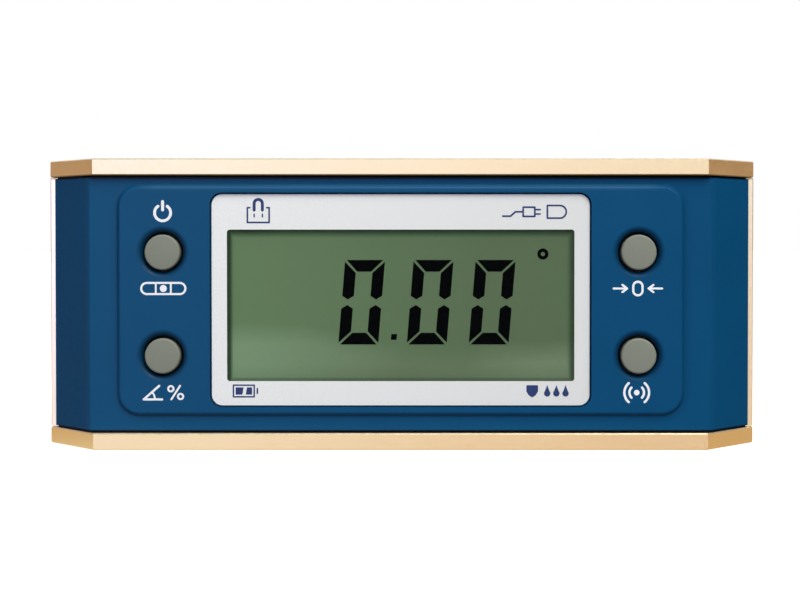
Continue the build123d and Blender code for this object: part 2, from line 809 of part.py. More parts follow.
def contact_strips():
    """Two rubber strips that join the glass to the board."""
    x = lcd_x - STRIP_INSET
    inset = (CONTACT_LEDGE - STRIP_W) / 2
    strips = []
    for z0 in (lcd_z0 + inset, lcd_z1 - inset - STRIP_W):
        strips.append(block(-x, x, lcd_t + GLASS_T, board_t, z0, z0 + STRIP_W))
    return group(strips)


def lcd_holder():
    """Moulded frame round the glass, with pegs through the board."""
    wall = HOLDER_GAP + HOLDER_WALL
    ring = rounded(-lcd_x - wall, lcd_x + wall, lcd_z0 - wall, lcd_z1 + wall, HOLDER_R)
    holder = slab(ring - lcd_outline(HOLDER_GAP), inner_t + HOLDER_SETBACK, board_t)
    for x, z in peg_spots:
        holder += rod(x, z, PEG_R, board_t - PEG_ROOT, board_back_t + PEG_ROOT)
    return holder


def main_board():
    """The circuit board, notched round the columns and drilled for its screws and pegs."""
    outline = rounded(-board_x, board_x, board_z0, board_z1, BOARD_R)
    reach = COLUMN_R + NOTCH_CLEAR
    for x, z in columns:
        edge_x = math.copysign(board_x + CUT, x)
        edge_z = board_z0 - CUT if z < mid_z else board_z1 + CUT
        outline -= Pos(x, z) * Circle(reach)
        outline -= plain(min(x, edge_x), max(x, edge_x), z - reach, z + reach)
        outline -= plain(x - reach, x + reach, min(z, edge_z), max(z, edge_z))
    board = slab(outline, board_t, board_back_t)
    for x, z in board_screw_spots:
        board -= rod(x, z, BOARD_SCREW.shank_r + HEAD_CLEAR, board_t - CUT, board_back_t + CUT)
    for x, z in peg_spots:
        board -= rod(x, z, PEG_R + HOLE_CLEAR, board_t - CUT, board_back_t + CUT)
    return board


def board_screws():
    return group([pan_screw(BOARD_SCREW, x, z, board_back_t) for x, z in board_screw_spots])


def key_cap(x, z):
    """A moulded key: shallow crown, rounded rim and a stem for the contact."""
    rim_r = KEY_R - CAP_EDGE
    rim = key_t + CAP_CROWN
    side = rim + CAP_EDGE_H
    bulge = 1 - math.sqrt(0.5)
    crown = ThreePointArc((0, key_t), (rim_r / 2, key_t + CAP_CROWN / 4), (rim_r, rim))
    bend = (KEY_R - bulge * CAP_EDGE, rim + bulge * CAP_EDGE_H)
    shoulder = ThreePointArc((rim_r, rim), bend, (KEY_R, side))
    stem_r = KEY_R - STEM_INSET
    skirt = [(KEY_R, side), (KEY_R, shoulder_t)]
    stem = [(stem_r, shoulder_t), (stem_r, pill_t), (0, pill_t), (0, key_t)]
    rest = Polyline(*skirt, *stem)
    return turned(make_face(crown.edges() + shoulder.edges() + rest.edges()), x, z)


def key_pill(x, z):
    return rod(x, z, PILL_R, pill_t, pill_t + PILL_T)


def key_dome(x, z):
    """The thin skirt that carries a key and snaps when it is pressed."""
    foot_r = KEY_R + DOME_SPREAD
    points = [(KEY_R - DOME_T, shoulder_t), (KEY_R, shoulder_t), (foot_r, web_t), (foot_r - DOME_T, web_t)]
    return turned(make_face(Polyline(*points, close=True).edges()), x, z)


def keypad_web(side):
    """The sheet two keys stand on, sealed against the board by the ribs round them."""
    x = side * key_x
    sheet = rounded(x - rib_r, x + rib_r, key_z0 - rib_r, key_z1 + rib_r, WEB_R)
    for z in (key_z0, key_z1):
        sheet -= Pos(x, z) * Circle(KEY_R + DOME_SPREAD - DOME_T)
    return slab(sheet, web_t, board_t)


def port_frame():
    """Insert in the right end: a seat for the flap outside and a cup for the plug inside."""
    body = end_slab(frame_t0, frame_t1, frame_h, side_x, frame_x, FRAME_R)
    body -= block(rebate_x, half_length + CUT, rebate_t0, rebate_t1, mid_z - rebate_h, mid_z + rebate_h)
    cup_back = cup_x - CUP_WALL
    body += end_slab(recess_t0 - CUP_WALL, recess_t1 + CUP_WALL, cup_h, cup_back, side_x + CUP_ROOT, CUP_R)
    body -= end_slab(recess_t0, recess_t1, recess_h, cup_x, half_length, RECESS_R)
    t0 = socket_t0 - SOCKET_FIT
    t1 = socket_t1 + SOCKET_FIT
    body -= end_slab(t0, t1, SOCKET_H / 2 + SOCKET_FIT, cup_back - CUT, cup_x + CUT, SOCKET_R + FIT)
    body -= rod_z(hinge_x, hinge_t, HINGE_R + HINGE_ROOM, mid_z - rebate_h, mid_z + rebate_h)
    return body - rod_z(hinge_x, hinge_t, HINGE_R + HINGE_CLEAR, mid_z - pin_pocket_h, mid_z + pin_pocket_h)


def port_flap():
    """Rubber flap over the port: plate with finger grooves, hinge bead with two pins, sealing skirt."""
    x0 = rebate_x + FLAP_SEAT
    x1 = x0 + FLAP_T
    plate = end_slab(flap_t0, hinge_t + FLAP_R, flap_h, x0, x1, FLAP_R)
    plate -= block(x0 - CUT, x1 + CUT, hinge_t, hinge_t + FLAP_R + CUT, 0, HEIGHT)
    for k in range(GRIP_COUNT):
        t = flap_t0 + GRIP_EDGE + k * GRIP_STEP
        plate -= block(x1 - GRIP_DEPTH, x1 + CUT, t, t + GRIP_W, mid_z - GRIP_HALF, mid_z + GRIP_HALF)
    pin = pin_pocket_h - PIN_PLAY
    plate += rod_z(hinge_x, hinge_t, HINGE_R, mid_z - pin, mid_z + pin)
    t0 = recess_t0 + SKIRT_SWING
    t1 = recess_t1 - SKIRT_FIT
    half = recess_h - SKIRT_FIT
    s = SKIRT_T
    skirt = end_slab(t0, t1, half, x0 - SKIRT_H, x0 + SKIRT_ROOT, RECESS_R)
    skirt -= end_slab(t0 + s, t1 - s, half - s, x0 - SKIRT_H - CUT, x0, SKIRT_INNER_R)
    return plate + skirt


def usb_socket():
    """Metal shell of the charging socket, its tongue inside and the mounting tabs."""
    x1 = cup_x - SOCKET_SINK
    x0 = x1 - SOCKET_L
    half = SOCKET_H / 2
    t = SHELL_T
    shell = end_slab(socket_t0, socket_t1, half, x0, x1, SOCKET_R)
    shell -= end_slab(socket_t0 + t, socket_t1 - t, half - t, x0 + SHELL_BACK, x1 + CUT, SHELL_INNER_R)
    t0 = port_t + TONGUE_SHIFT - TONGUE_T / 2
    z0 = mid_z - TONGUE_H / 2
    shell += block(x0 + SHELL_BACK - t, x1 - TONGUE_SINK, t0, t0 + TONGUE_T, z0, z0 + TONGUE_H)
    for side in SIDES:
        z0 = mid_z + side * (half - t)
        z1 = mid_z + side * (half + TAB_H)
        shell += block(x0 + TAB_L / 2, x0 + TAB_L * 3 / 2, socket_t0, socket_t0 + TAB_T, z0, z1)
    return shell


def charge_board():
    outline = rounded(charge_x0, charge_x1, mid_z - CHARGE_H / 2, mid_z + CHARGE_H / 2, CHARGE_R)
    board = slab(outline, charge_t, charge_back_t)
    for x, z in spacer_spots:
        board -= rod(x, z, BOARD_SCREW.shank_r + HEAD_CLEAR, charge_t - CUT, charge_back_t + CUT)
    return board


def charge_spacers():
    posts = []
    for x, z in spacer_spots:
        post = slab(Pos(x, z) * RegularPolygon(SPACER_R, 6), board_back_t, charge_t)
        thread = rod(x, z, BOARD_SCREW.shank_r + HOLE_CLEAR, charge_t - SPACER_THREAD, charge_t + CUT)
        posts.append(post - thread)
    return group(posts)


def charge_screws():
    return group([pan_screw(BOARD_SCREW, x, z, charge_back_t) for x, z in spacer_spots])


def board_header():
    """Pin strip between the two boards."""
    x = spacer_x + HEADER_X
    w = HEADER_W / 2
    half = (PIN_COUNT - 1) * PIN_PITCH / 2
    end = half + HEADER_END
    strip = block(x - w, x + w, board_back_t, board_back_t + HEADER_H, mid_z - end, mid_z + end)
    p = PIN_W / 2
    for k in range(PIN_COUNT):
        z = mid_z - half + k * PIN_PITCH
        strip += block(x - p, x + p, board_back_t + PIN_ROOT, charge_t, z - p, z + p)
    return strip


def battery_cell():
    """Round cell with its rolled groove and raised terminal."""
    end = CELL_L / 2
    cap = end - CELL_NUB_H
    groove = end - CELL_GROOVE_X
    outline = [
        (-end, 0),
        (-end, CELL_R - CELL_EDGE),
        (-end + CELL_EDGE, CELL_R),
        (groove - CELL_GROOVE_W, CELL_R),
        (groove, CELL_R - CELL_GROOVE_DEPTH),
        (groove + CELL_GROOVE_W, CELL_R),
        (cap - CELL_EDGE, CELL_R),
        (cap, CELL_R - CELL_CRIMP),
        (cap, CELL_NUB_R),
        (end, CELL_NUB_R),
        (end, 0),
    ]
    cell = revolve(make_face(Polyline(*outline, close=True).edges()), Axis.X)
    return Pos(0, y_at(cell_t), cell_z) * cell


def battery_holder():
    """Open tray on the board: floor, cradle ribs, end walls and snap sides."""
    inner_x = leaf_x + LEAF_T
    outer_x = inner_x + TRAY_WALL
    h = CELL_R + CELL_CLEAR
    outer_h = h + TRAY_WALL
    floor = board_back_t + TRAY_FLOOR
    top = cell_t + TRAY_RISE
    tray = block(-outer_x, outer_x, board_back_t, top, cell_z - outer_h, cell_z + outer_h)
    tray -= block(-inner_x, inner_x, floor, top + CUT, cell_z - h, cell_z + h)
    rib_top = cell_t - CRADLE_DROP
    for k in range(CRADLE_COUNT):
        x = (k - (CRADLE_COUNT - 1) / 2) * CRADLE_STEP
        x0 = x - CRADLE_T / 2
        rib = block(x0, x0 + CRADLE_T, board_back_t, rib_top, cell_z - outer_h, cell_z + outer_h)
        tray += rib - rod_x(cell_t, cell_z, h, -outer_x, outer_x)
    for x in (-SNAP_X, SNAP_X):
        x0 = x - SNAP_W / 2
        z0 = cell_z - outer_h - CUT
        z1 = cell_z + outer_h + CUT
        tray -= block(x0, x0 + SNAP_W, cell_t - SNAP_DROP, top + CUT, z0, z1)
    return tray


def battery_contacts():
    """A pressed leaf at each end of the cell, with a dimple that meets the terminal."""
    leaves = []
    z0 = cell_z - LEAF_W / 2
    z1 = cell_z + LEAF_W / 2
    floor = board_back_t + TRAY_FLOOR
    for side in SIDES:
        x0 = side * leaf_x
        x1 = side * (leaf_x + LEAF_T)
        leaf = block(x0, x1, floor, cell_t + LEAF_RISE, z0, z1)
        plane = Plane(origin=(x0, y_at(cell_t), cell_z), z_dir=(-side, 0, 0))
        stand = (Align.CENTER, Align.CENTER, Align.MIN)
        dimple = Cone(DIMPLE_R, DIMPLE_TOP_R, LEAF_GAP - DIMPLE_CLEAR, align=stand)
        leaves.append(leaf + plane * dimple)
    return group(leaves)


def buzzer():
    """Round sounder with the hole in its lid."""
    x = lcd_x - BUZZER_X
    z = board_z1 - BUZZER_Z
    top = board_back_t + BUZZER_H
    can = rod(x, z, BUZZER_R, board_back_t, top)
    can = fillet(can.edges().sort_by(Axis.Y)[-1], BUZZER_EDGE)
    return can - rod(x, z, BUZZER_HOLE_R, top - BUZZER_HOLE_DEPTH, top + CUT)


def tilt_sensor():
    """Square sensor package with a stepped metal lid."""
    x = SENSOR_X - lcd_x
    z = board_z1 - SENSOR_Z
    w = SENSOR_W / 2
    lid_w = SENSOR_LID_W / 2
    lid_t = board_back_t + SENSOR_H
    body = block(x - w, x + w, board_back_t, lid_t, z - w, z + w)
    body = chamfer(body.edges().filter_by(Axis.Y), SENSOR_EDGE)
    lid = block(x - lid_w, x + lid_w, lid_t, lid_t + SENSOR_LID_H, z - lid_w, z + lid_w)
    return body + chamfer(lid.edges().filter_by(Axis.Y), SENSOR_LID_EDGE)


def chip_lead(offset):
    """One bent lead at the right side of the chip, drawn about the chip's centre."""
    side = CHIP_W / 2
    t = board_back_t
    w = LEAD_W / 2
    high = t + LEAD_LIFT + LEAD_T
    arm = block(side - LEAD_ROOT, side + LEAD_KNEE, t + LEAD_LIFT, high, offset - w, offset + w)
    return arm + block(side + LEAD_KNEE - LEAD_T, side + LEAD_FOOT, t, high, offset - w, offset + w)


def microcontroller():
    """Flat chip with a row of bent leads along each side."""
    w = CHIP_W / 2
    t = board_back_t + CHIP_LIFT
    chip = block(-w, w, t, t + CHIP_H, -w, w)
    chip = chamfer(chip.edges().filter_by(Axis.Y), CHIP_EDGE)
    for k in range(LEAD_COUNT):
        lead = chip_lead((k - (LEAD_COUNT - 1) / 2) * LEAD_PITCH)
        for quarter in range(4):
            chip += lead.rotate(Axis.Y, 90 * quarter)
    return Pos(0, 0, board_z1 - CHIP_Z) * chip


def surface_parts():
    """Small capacitors, resistors and a crystal round the chip."""
    z_mid = board_z1 - CHIP_Z
    bits = []
    for case, spots in ((SMALL_CASE, SMALL_SPOTS), (MIDDLE_CASE, MIDDLE_SPOTS), (LARGE_CASE, LARGE_SPOTS)):
        length, width = case
        for x, dz in spots:
            x0 = x - length / 2
            z0 = z_mid + dz - width / 2
            bits.append(block(x0, x0 + length, board_back_t, board_back_t + width, z0, z0 + width))
    x0 = CRYSTAL_X - CRYSTAL_L / 2
    z0 = z_mid + CRYSTAL_Z - CRYSTAL_W / 2
    crystal = block(x0, x0 + CRYSTAL_L, board_back_t, board_back_t + CRYSTAL_H, z0, z0 + CRYSTAL_W)
    bits.append(fillet(crystal.edges().filter_by(Axis.Y), CRYSTAL_R))
    return group(bits)


NODES = {
    "top_rail": top_rail,
    "base_rail": base_rail,
    "left_end_plate": left_end_plate,
    "right_end_plate": right_end_plate,
    "top_rail_screws": lambda: rail_screws(HEIGHT - SCREW_SINK, (0, 0, 1)),
    "base_rail_screws": lambda: rail_screws(SCREW_SINK, (0, 0, -1)),
    "end_plate_screws": end_plate_screws,
    "base_magnets": base_magnets,
    "front_housing": front_housing,
    "rear_cover": rear_cover,
    "housing_seal": housing_seal,
    "cover_screws": cover_screws,
    "display_lens": display_lens,
    "display_mask": display_mask,
    "lens_tape": lens_tape,
    "lcd_foam": lcd_foam,
    "lcd_front_glass": lcd_front_glass,
    "lcd_rear_glass": lcd_rear_glass,
    "lcd_rear_film": lcd_rear_film,
    "light_guide": light_guide,
    "backlight_lamps": backlight_lamps,
    "contact_strips": contact_strips,
    "lcd_holder": lcd_holder,
    "main_board": main_board,
    "board_screws": board_screws,
    "left_keypad_web": lambda: keypad_web(-1),
    "right_keypad_web": lambda: keypad_web(1),
    "port_frame": port_frame,
    "port_flap": port_flap,
    "usb_socket": usb_socket,
    "charge_board": charge_board,
    "charge_spacers": charge_spacers,
    "charge_screws": charge_screws,
    "board_header": board_header,
    "battery_cell": battery_cell,
    "battery_holder": battery_holder,
    "battery_contacts": battery_contacts,
    "buzzer": buzzer,
    "tilt_sensor": tilt_sensor,
    "microcontroller": microcontroller,
    "surface_parts": surface_parts,
}

os.makedirs("parts", exist_ok=True)
for node, make in NODES.items():
    export_step(make(), f"parts/{node}.step")

for name, (x, z) in key_places.items():
    export_step(key_cap(x, z), f"parts/{name}_key.step")
    export_step(key_pill(x, z), f"parts/{name}_key_pill.step")
    export_step(key_dome(x, z), f"parts/{name}_key_dome.step")
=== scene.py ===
import math

import bmesh
import bpy
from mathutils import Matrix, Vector, geometry


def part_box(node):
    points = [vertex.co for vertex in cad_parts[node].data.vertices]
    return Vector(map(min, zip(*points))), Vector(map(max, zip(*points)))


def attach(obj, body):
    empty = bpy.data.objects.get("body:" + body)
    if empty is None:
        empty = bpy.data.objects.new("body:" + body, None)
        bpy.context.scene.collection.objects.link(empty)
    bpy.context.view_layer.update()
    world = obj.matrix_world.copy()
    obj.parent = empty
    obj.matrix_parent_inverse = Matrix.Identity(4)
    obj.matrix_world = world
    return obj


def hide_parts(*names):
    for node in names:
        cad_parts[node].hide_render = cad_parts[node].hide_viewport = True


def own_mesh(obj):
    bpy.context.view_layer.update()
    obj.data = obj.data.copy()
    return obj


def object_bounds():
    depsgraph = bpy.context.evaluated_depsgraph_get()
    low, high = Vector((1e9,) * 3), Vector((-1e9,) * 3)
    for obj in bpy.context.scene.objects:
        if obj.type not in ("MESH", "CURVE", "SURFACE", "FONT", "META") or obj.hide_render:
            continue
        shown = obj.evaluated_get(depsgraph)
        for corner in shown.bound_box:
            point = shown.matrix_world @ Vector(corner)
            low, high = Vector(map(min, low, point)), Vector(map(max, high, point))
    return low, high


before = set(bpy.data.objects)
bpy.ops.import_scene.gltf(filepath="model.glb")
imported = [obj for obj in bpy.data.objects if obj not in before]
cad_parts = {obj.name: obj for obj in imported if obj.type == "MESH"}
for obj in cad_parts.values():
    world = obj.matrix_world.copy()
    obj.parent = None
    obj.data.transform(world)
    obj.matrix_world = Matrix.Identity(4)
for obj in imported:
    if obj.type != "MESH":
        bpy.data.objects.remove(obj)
cad_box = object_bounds()

# Lengths below are in millimetres where a name or comment says so; the scene itself is in metres.
MM = 0.001
BODY = "level_body"
KEYS = ("power", "tilt", "zero", "sound")


def beside(place, start, end):
    """A stretch, in metres, that starts and ends so many millimetres from a place."""
    return (place + start * MM, place + end * MM)


# Places on the CAD pieces that the shades of the finishes follow, in metres.
MIDDLE = (cad_box[0].x + cad_box[1].x) / 2
BASE_RAIL_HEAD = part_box("base_rail")[1].z
TOP_RAIL_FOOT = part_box("top_rail")[0].z
FRONT_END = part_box("front_housing")[1].x
PLATE_LOW, PLATE_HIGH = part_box("left_end_plate")
DISPLAY_LOW, DISPLAY_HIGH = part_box("lcd_rear_glass")
KEY_LOW, KEY_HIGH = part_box("power_key")
KEY_RADIUS = (KEY_HIGH.x - KEY_LOW.x) / 2

# The photograph's frame, in pixels, and the camera that fits it, in millimetres and degrees.
IMAGE_WIDTH = 800
IMAGE_HEIGHT = 600
FOCAL_PIXELS = 1469.0
AXIS_X_PIXEL = 440.6
AXIS_Y_PIXEL = 264.0
CAMERA_SIDE = 8.25
CAMERA_DISTANCE = 302.0
CAMERA_HEIGHT = 42.9
CAMERA_PITCH = 0.87
CAMERA_NEAR = 10.0
SENSOR_WIDTH = 36.0

# Figures on the display, in millimetres, and their slant, in degrees.
DIGIT_HEIGHT = 17.56
DIGIT_WIDTH = 8.3
DIGIT_STROKE = 2.42
DIGIT_SLANT = 4.7
DIGIT_RISE = 0.6
DIGIT_PLACES = (-8.15, 6.08, 18.96)
SEGMENT_OUTER_GAP = 0.36
SEGMENT_INNER_GAP = 0.3
SEGMENT_MIDDLE_GAP = 0.58
SEGMENT_POINT = 0.75
POINT_SIZE = 1.2
POINT_PLACE = (-1.45, -7.22)
DEGREE_PLACE = (29.5, 10.02)
DEGREE_RADIUS = 0.8
DEGREE_LINE = 0.72
FIGURE_THICKNESS = 0.02

# Printed signs, in millimetres: their thickness, the steps of their curves and the gap that closes up.
PRINT_THICKNESS = 0.03
CURVE_STEP = 0.12
CLOSED_GAP = 1e-5
# Fewest steps of a small round spot and of a short arc.
SPOT_STEPS = 12
ARC_STEPS = 6
# What the merging of outlines keeps, and the turn between faces, in radians, that still counts as flat.
KEEP_INSIDE = 1
FLAT_TURN = 0.001

# Silicone skirt under each key, in millimetres: its wall at both rims, and how far each side thins midway.
SKIRT_WALL = 0.8
SKIRT_THINNING = 0.14
SKIRT_ROWS = 8
SKIRT_SEGMENTS = 64
# Edges of the skirt that turn by this much or more stay sharp, in degrees.
SKIRT_CREASE = 40

# Painted shade darkens the display's green to the right over this stretch.
DISPLAY_SHADE_STRETCH = beside(MIDDLE, -34.0, 18.0)
# The display's painted reflection over its lower part ends between these heights, and its edge wanders by
# so much either way.
DISPLAY_REFLECTION = beside(DISPLAY_LOW.z, 2.75, 6.95)
PALE_WANDER = 0.7 * MM
# The painted reflection climbs by these heights to the left and to the right, over these stretches.
REFLECTION_CLIMB_LEFT = 5.3 * MM
REFLECTION_CLIMB_RIGHT = 2.0 * MM
REFLECTION_SLOPE_LEFT = beside(MIDDLE, -22.0, 2.0)
REFLECTION_SLOPE_RIGHT = beside(MIDDLE, 14.0, 26.0)
# The painted reflection dims from the left to the middle and lightens again to the right, over these
# stretches.
REFLECTION_DIM = beside(MIDDLE, -34.0, 0.0)
REFLECTION_LIGHTEN = beside(MIDDLE, 13.0, 28.0)
# Painted shade along the display's foot: its strength, and where it ends.
DISPLAY_FOOT_SHADE_STRENGTH = 0.15
DISPLAY_FOOT_SHADE = beside(DISPLAY_LOW.z, 1.05, 3.85)
# Painted shadow along the display's edges: its strength on each side, and where it shows.
DISPLAY_EDGE_SHADOW_LEFT_STRENGTH = 0.9
DISPLAY_EDGE_SHADOW_RIGHT_STRENGTH = 0.75
DISPLAY_EDGE_SHADOW_FOOT_STRENGTH = 0.5
DISPLAY_EDGE_SHADOW_HEAD_STRENGTH = 0.95
DISPLAY_EDGE_SHADOW_LEFT = beside(DISPLAY_LOW.x, 1.61, 2.31)
DISPLAY_EDGE_SHADOW_RIGHT = beside(DISPLAY_HIGH.x, -2.61, -1.61)
DISPLAY_EDGE_SHADOW_FOOT = beside(DISPLAY_LOW.z, 0.85, 1.25)
DISPLAY_EDGE_SHADOW_HEAD = beside(DISPLAY_HIGH.z, -2.2, -0.9)

# Painted shade greys the white border to the right over this stretch.
BORDER_SHADE_STRETCH = beside(MIDDLE, -40.0, 37.0)
# Cool tint of what the coated panes mirror.
COATING_TINT = (0.6, 0.78, 1.0, 1)

# How far a rounded normal turns away where an edge is fully worn and where it isn't, as cosines.
EDGE_TURN = (0.82, 0.995)
EDGE_SAMPLES = 6
# Rubbed plastic is paler: its colour is multiplied by the gain, and the lift is added.
RUBBED_GAIN = 1.6
RUBBED_LIFT = 0.01
# How open a place is where the painted shade of a corner is full and where there is none, as a share of the
# sky.
HOLLOW_OPENNESS = (0.75, 1.0)
HOLLOW_SAMPLES = 8

# Painted shade in the dish round each key: its strength, and the distances from the key's axis over which
# it fades.
DISH_SHADE = 0.5
DISH_RIM = beside(KEY_RADIUS, 0.95, 1.95)
# Painted shade in the front's corners: how far about they are looked for, in millimetres, and its strength.
HOLLOW_REACH = 2.0
HOLLOW_SHADE = 0.5
# The painted shade of the corners fades out towards the panel's top between these heights.
HOLLOW_END = beside(TOP_RAIL_FOOT, -4.1, -2.6)
# Painted shadow lines on the front along the two rails: their strength, and the heights over which they
# fade.
RAIL_LINE_SHADE = 0.9
BASE_RAIL_LINE = beside(BASE_RAIL_HEAD, 0.45, 0.70)
TOP_RAIL_LINE = beside(TOP_RAIL_FOOT, -0.85, -0.60)
# The top rail's painted shadow line is thinner on the slanted ends, which begin at this distance from the
# middle.
TOP_RAIL_THIN_LINE = beside(TOP_RAIL_FOOT, -0.68, -0.52)
LINE_END = beside(FRONT_END, -10.16, -8.76)
# Painted highlight along the panel's top edge: its strength, where it rises, fades and ends towards both
# sides.
PANEL_PAINTED_HIGHLIGHT = 0.22
PANEL_PAINTED_HIGHLIGHT_FOOT = beside(TOP_RAIL_FOOT, -3.3, -2.5)
PANEL_PAINTED_HIGHLIGHT_HEAD = beside(TOP_RAIL_FOOT, -2.1, -1.7)
PANEL_PAINTED_HIGHLIGHT_END = beside(FRONT_END, -22.76, -18.76)
# The front's polish falls from left to right, and is a share of that on its slanted ends.
FRONT_POLISH_LEFT = 0.14
FRONT_POLISH_RIGHT = 0.06
FRONT_POLISH = beside(MIDDLE, -62.0, 66.0)
DULL_LEFT_SHARE = 0.35
DULL_RIGHT_SHARE = 0.25
DULL_LEFT = beside(-FRONT_END, 8.26, 9.76)
DULL_RIGHT = beside(FRONT_END, -9.76, -8.26)

# Heights between which the gold is the end plates', a little paler than the rails.
END_PLATE_FOOT = beside(PLATE_LOW.z, -0.1, 0.0)
END_PLATE_HEAD = beside(PLATE_HIGH.z, -0.4, -0.3)
# Painted highlight on the left end plate's front edge, paler still: where it ends to the back and to the
# right.
PAINTED_HIGHLIGHT_BACK = beside(PLATE_LOW.y, 0.6, 1.2)
PAINTED_HIGHLIGHT_RIGHT = beside(PLATE_HIGH.x, 2.0, 12.0)
# Painted shade on the top rail's underside and lower edge: its strength, and the heights where it sets in
# and ends.
UNDERSIDE_SHADE = 0.75
TOP_RAIL_UNDERSIDE = beside(TOP_RAIL_FOOT, -0.08, -0.02)
TOP_RAIL_EDGE = beside(TOP_RAIL_FOOT, 0.16, 0.26)
# Painted shade on the end plates' upper rim, under the top rail: its strength, and the heights where it
# sets in.
PLATE_RIM_SHADE = 0.45
PLATE_RIM = beside(PLATE_HIGH.z, -0.38, -0.30)

# Light of the room by direction.
ROOM_FRONT_LEFT = (1.94, 2.26, 3.53, 1)
ROOM_FRONT_RIGHT = (0.77, 0.87, 0.99, 1)
ROOM_LEFT = (0.37, 0.235, 0.175, 1)
ROOM_RIGHT = (0.26, 0.16, 0.105, 1)
ROOM_BACK = (1.4, 1.4, 1.4, 1)
ROOM_CEILING = (0.42, 0.42, 0.42, 1)
# Where one light of the room gives way to the next, along an axis of the direction, from -1 to 1.
SIDES_STEP = (-0.2, 0.2)
SCREEN_STEP = (-0.35, 0.1)
BACK_STEP = (0.4, 0.8)
FRONT_STEP = (-0.72, -0.92)
CEILING_STEP = (0.45, 0.85)
# Softbox ahead, above and to the right: its place, aim and size in metres, its power in watts, its tint.
SOFTBOX_PLACE = (0.36, -0.75, 1.0)
SOFTBOX_AIM = (0, 0, 0.03)
SOFTBOX_SIZE = 0.86
SOFTBOX_POWER = 18.7
SOFTBOX_TINT = (1.0, 1.0, 0.9)

# Floor, in metres: a wide disc just under the level.
FLOOR_RADIUS = 6.0
FLOOR_SEGMENTS = 96
FLOOR_DROP = 0.1 * MM
# Colours of the floor where it is looked at, and its glow near the level and beyond, with the distances.
FLOOR_SEEN = (0.88, 0.88, 0.88, 1)
FLOOR_SEEN_PALE = (0.91, 0.91, 0.91, 1)
FLOOR_GLOW_NEAR = 0.6
FLOOR_GLOW_FAR = 1.0
FLOOR_GLOW = (0.1, 0.9)
# Colours of the light that the floor throws back, and of the floor as the metal mirrors it.
FLOOR_BOUNCE = (0.16, 0.16, 0.16, 1)
FLOOR_BOUNCE_PALE = (0.18, 0.18, 0.18, 1)
FLOOR_MIRRORED = (0.73, 0.52, 0.27, 1)
FLOOR_MIRRORED_PALE = (0.84, 0.73, 0.51, 1)
# Where the paler part of the mirrored floor begins and ends, and how far its edges wander, in metres.
FLOOR_PALE_START = beside(MIDDLE, -95.0, -70.0)
FLOOR_PALE_END = beside(MIDDLE, -50.0, 50.0)
FLOOR_PALE_WANDER = 0.005
# Size of the floor's mottle, in millimetres.
FLOOR_MOTTLE = 60.0


def srgb(red, green, blue):
    """A colour given as it looks on a screen, 0 to 255, in the linear numbers that the shaders use."""
    def linear(channel):
        share = channel / 255
        return share / 12.92 if share <= 0.04045 else ((share + 0.055) / 1.055) ** 2.4
    return (linear(red), linear(green), linear(blue), 1.0)


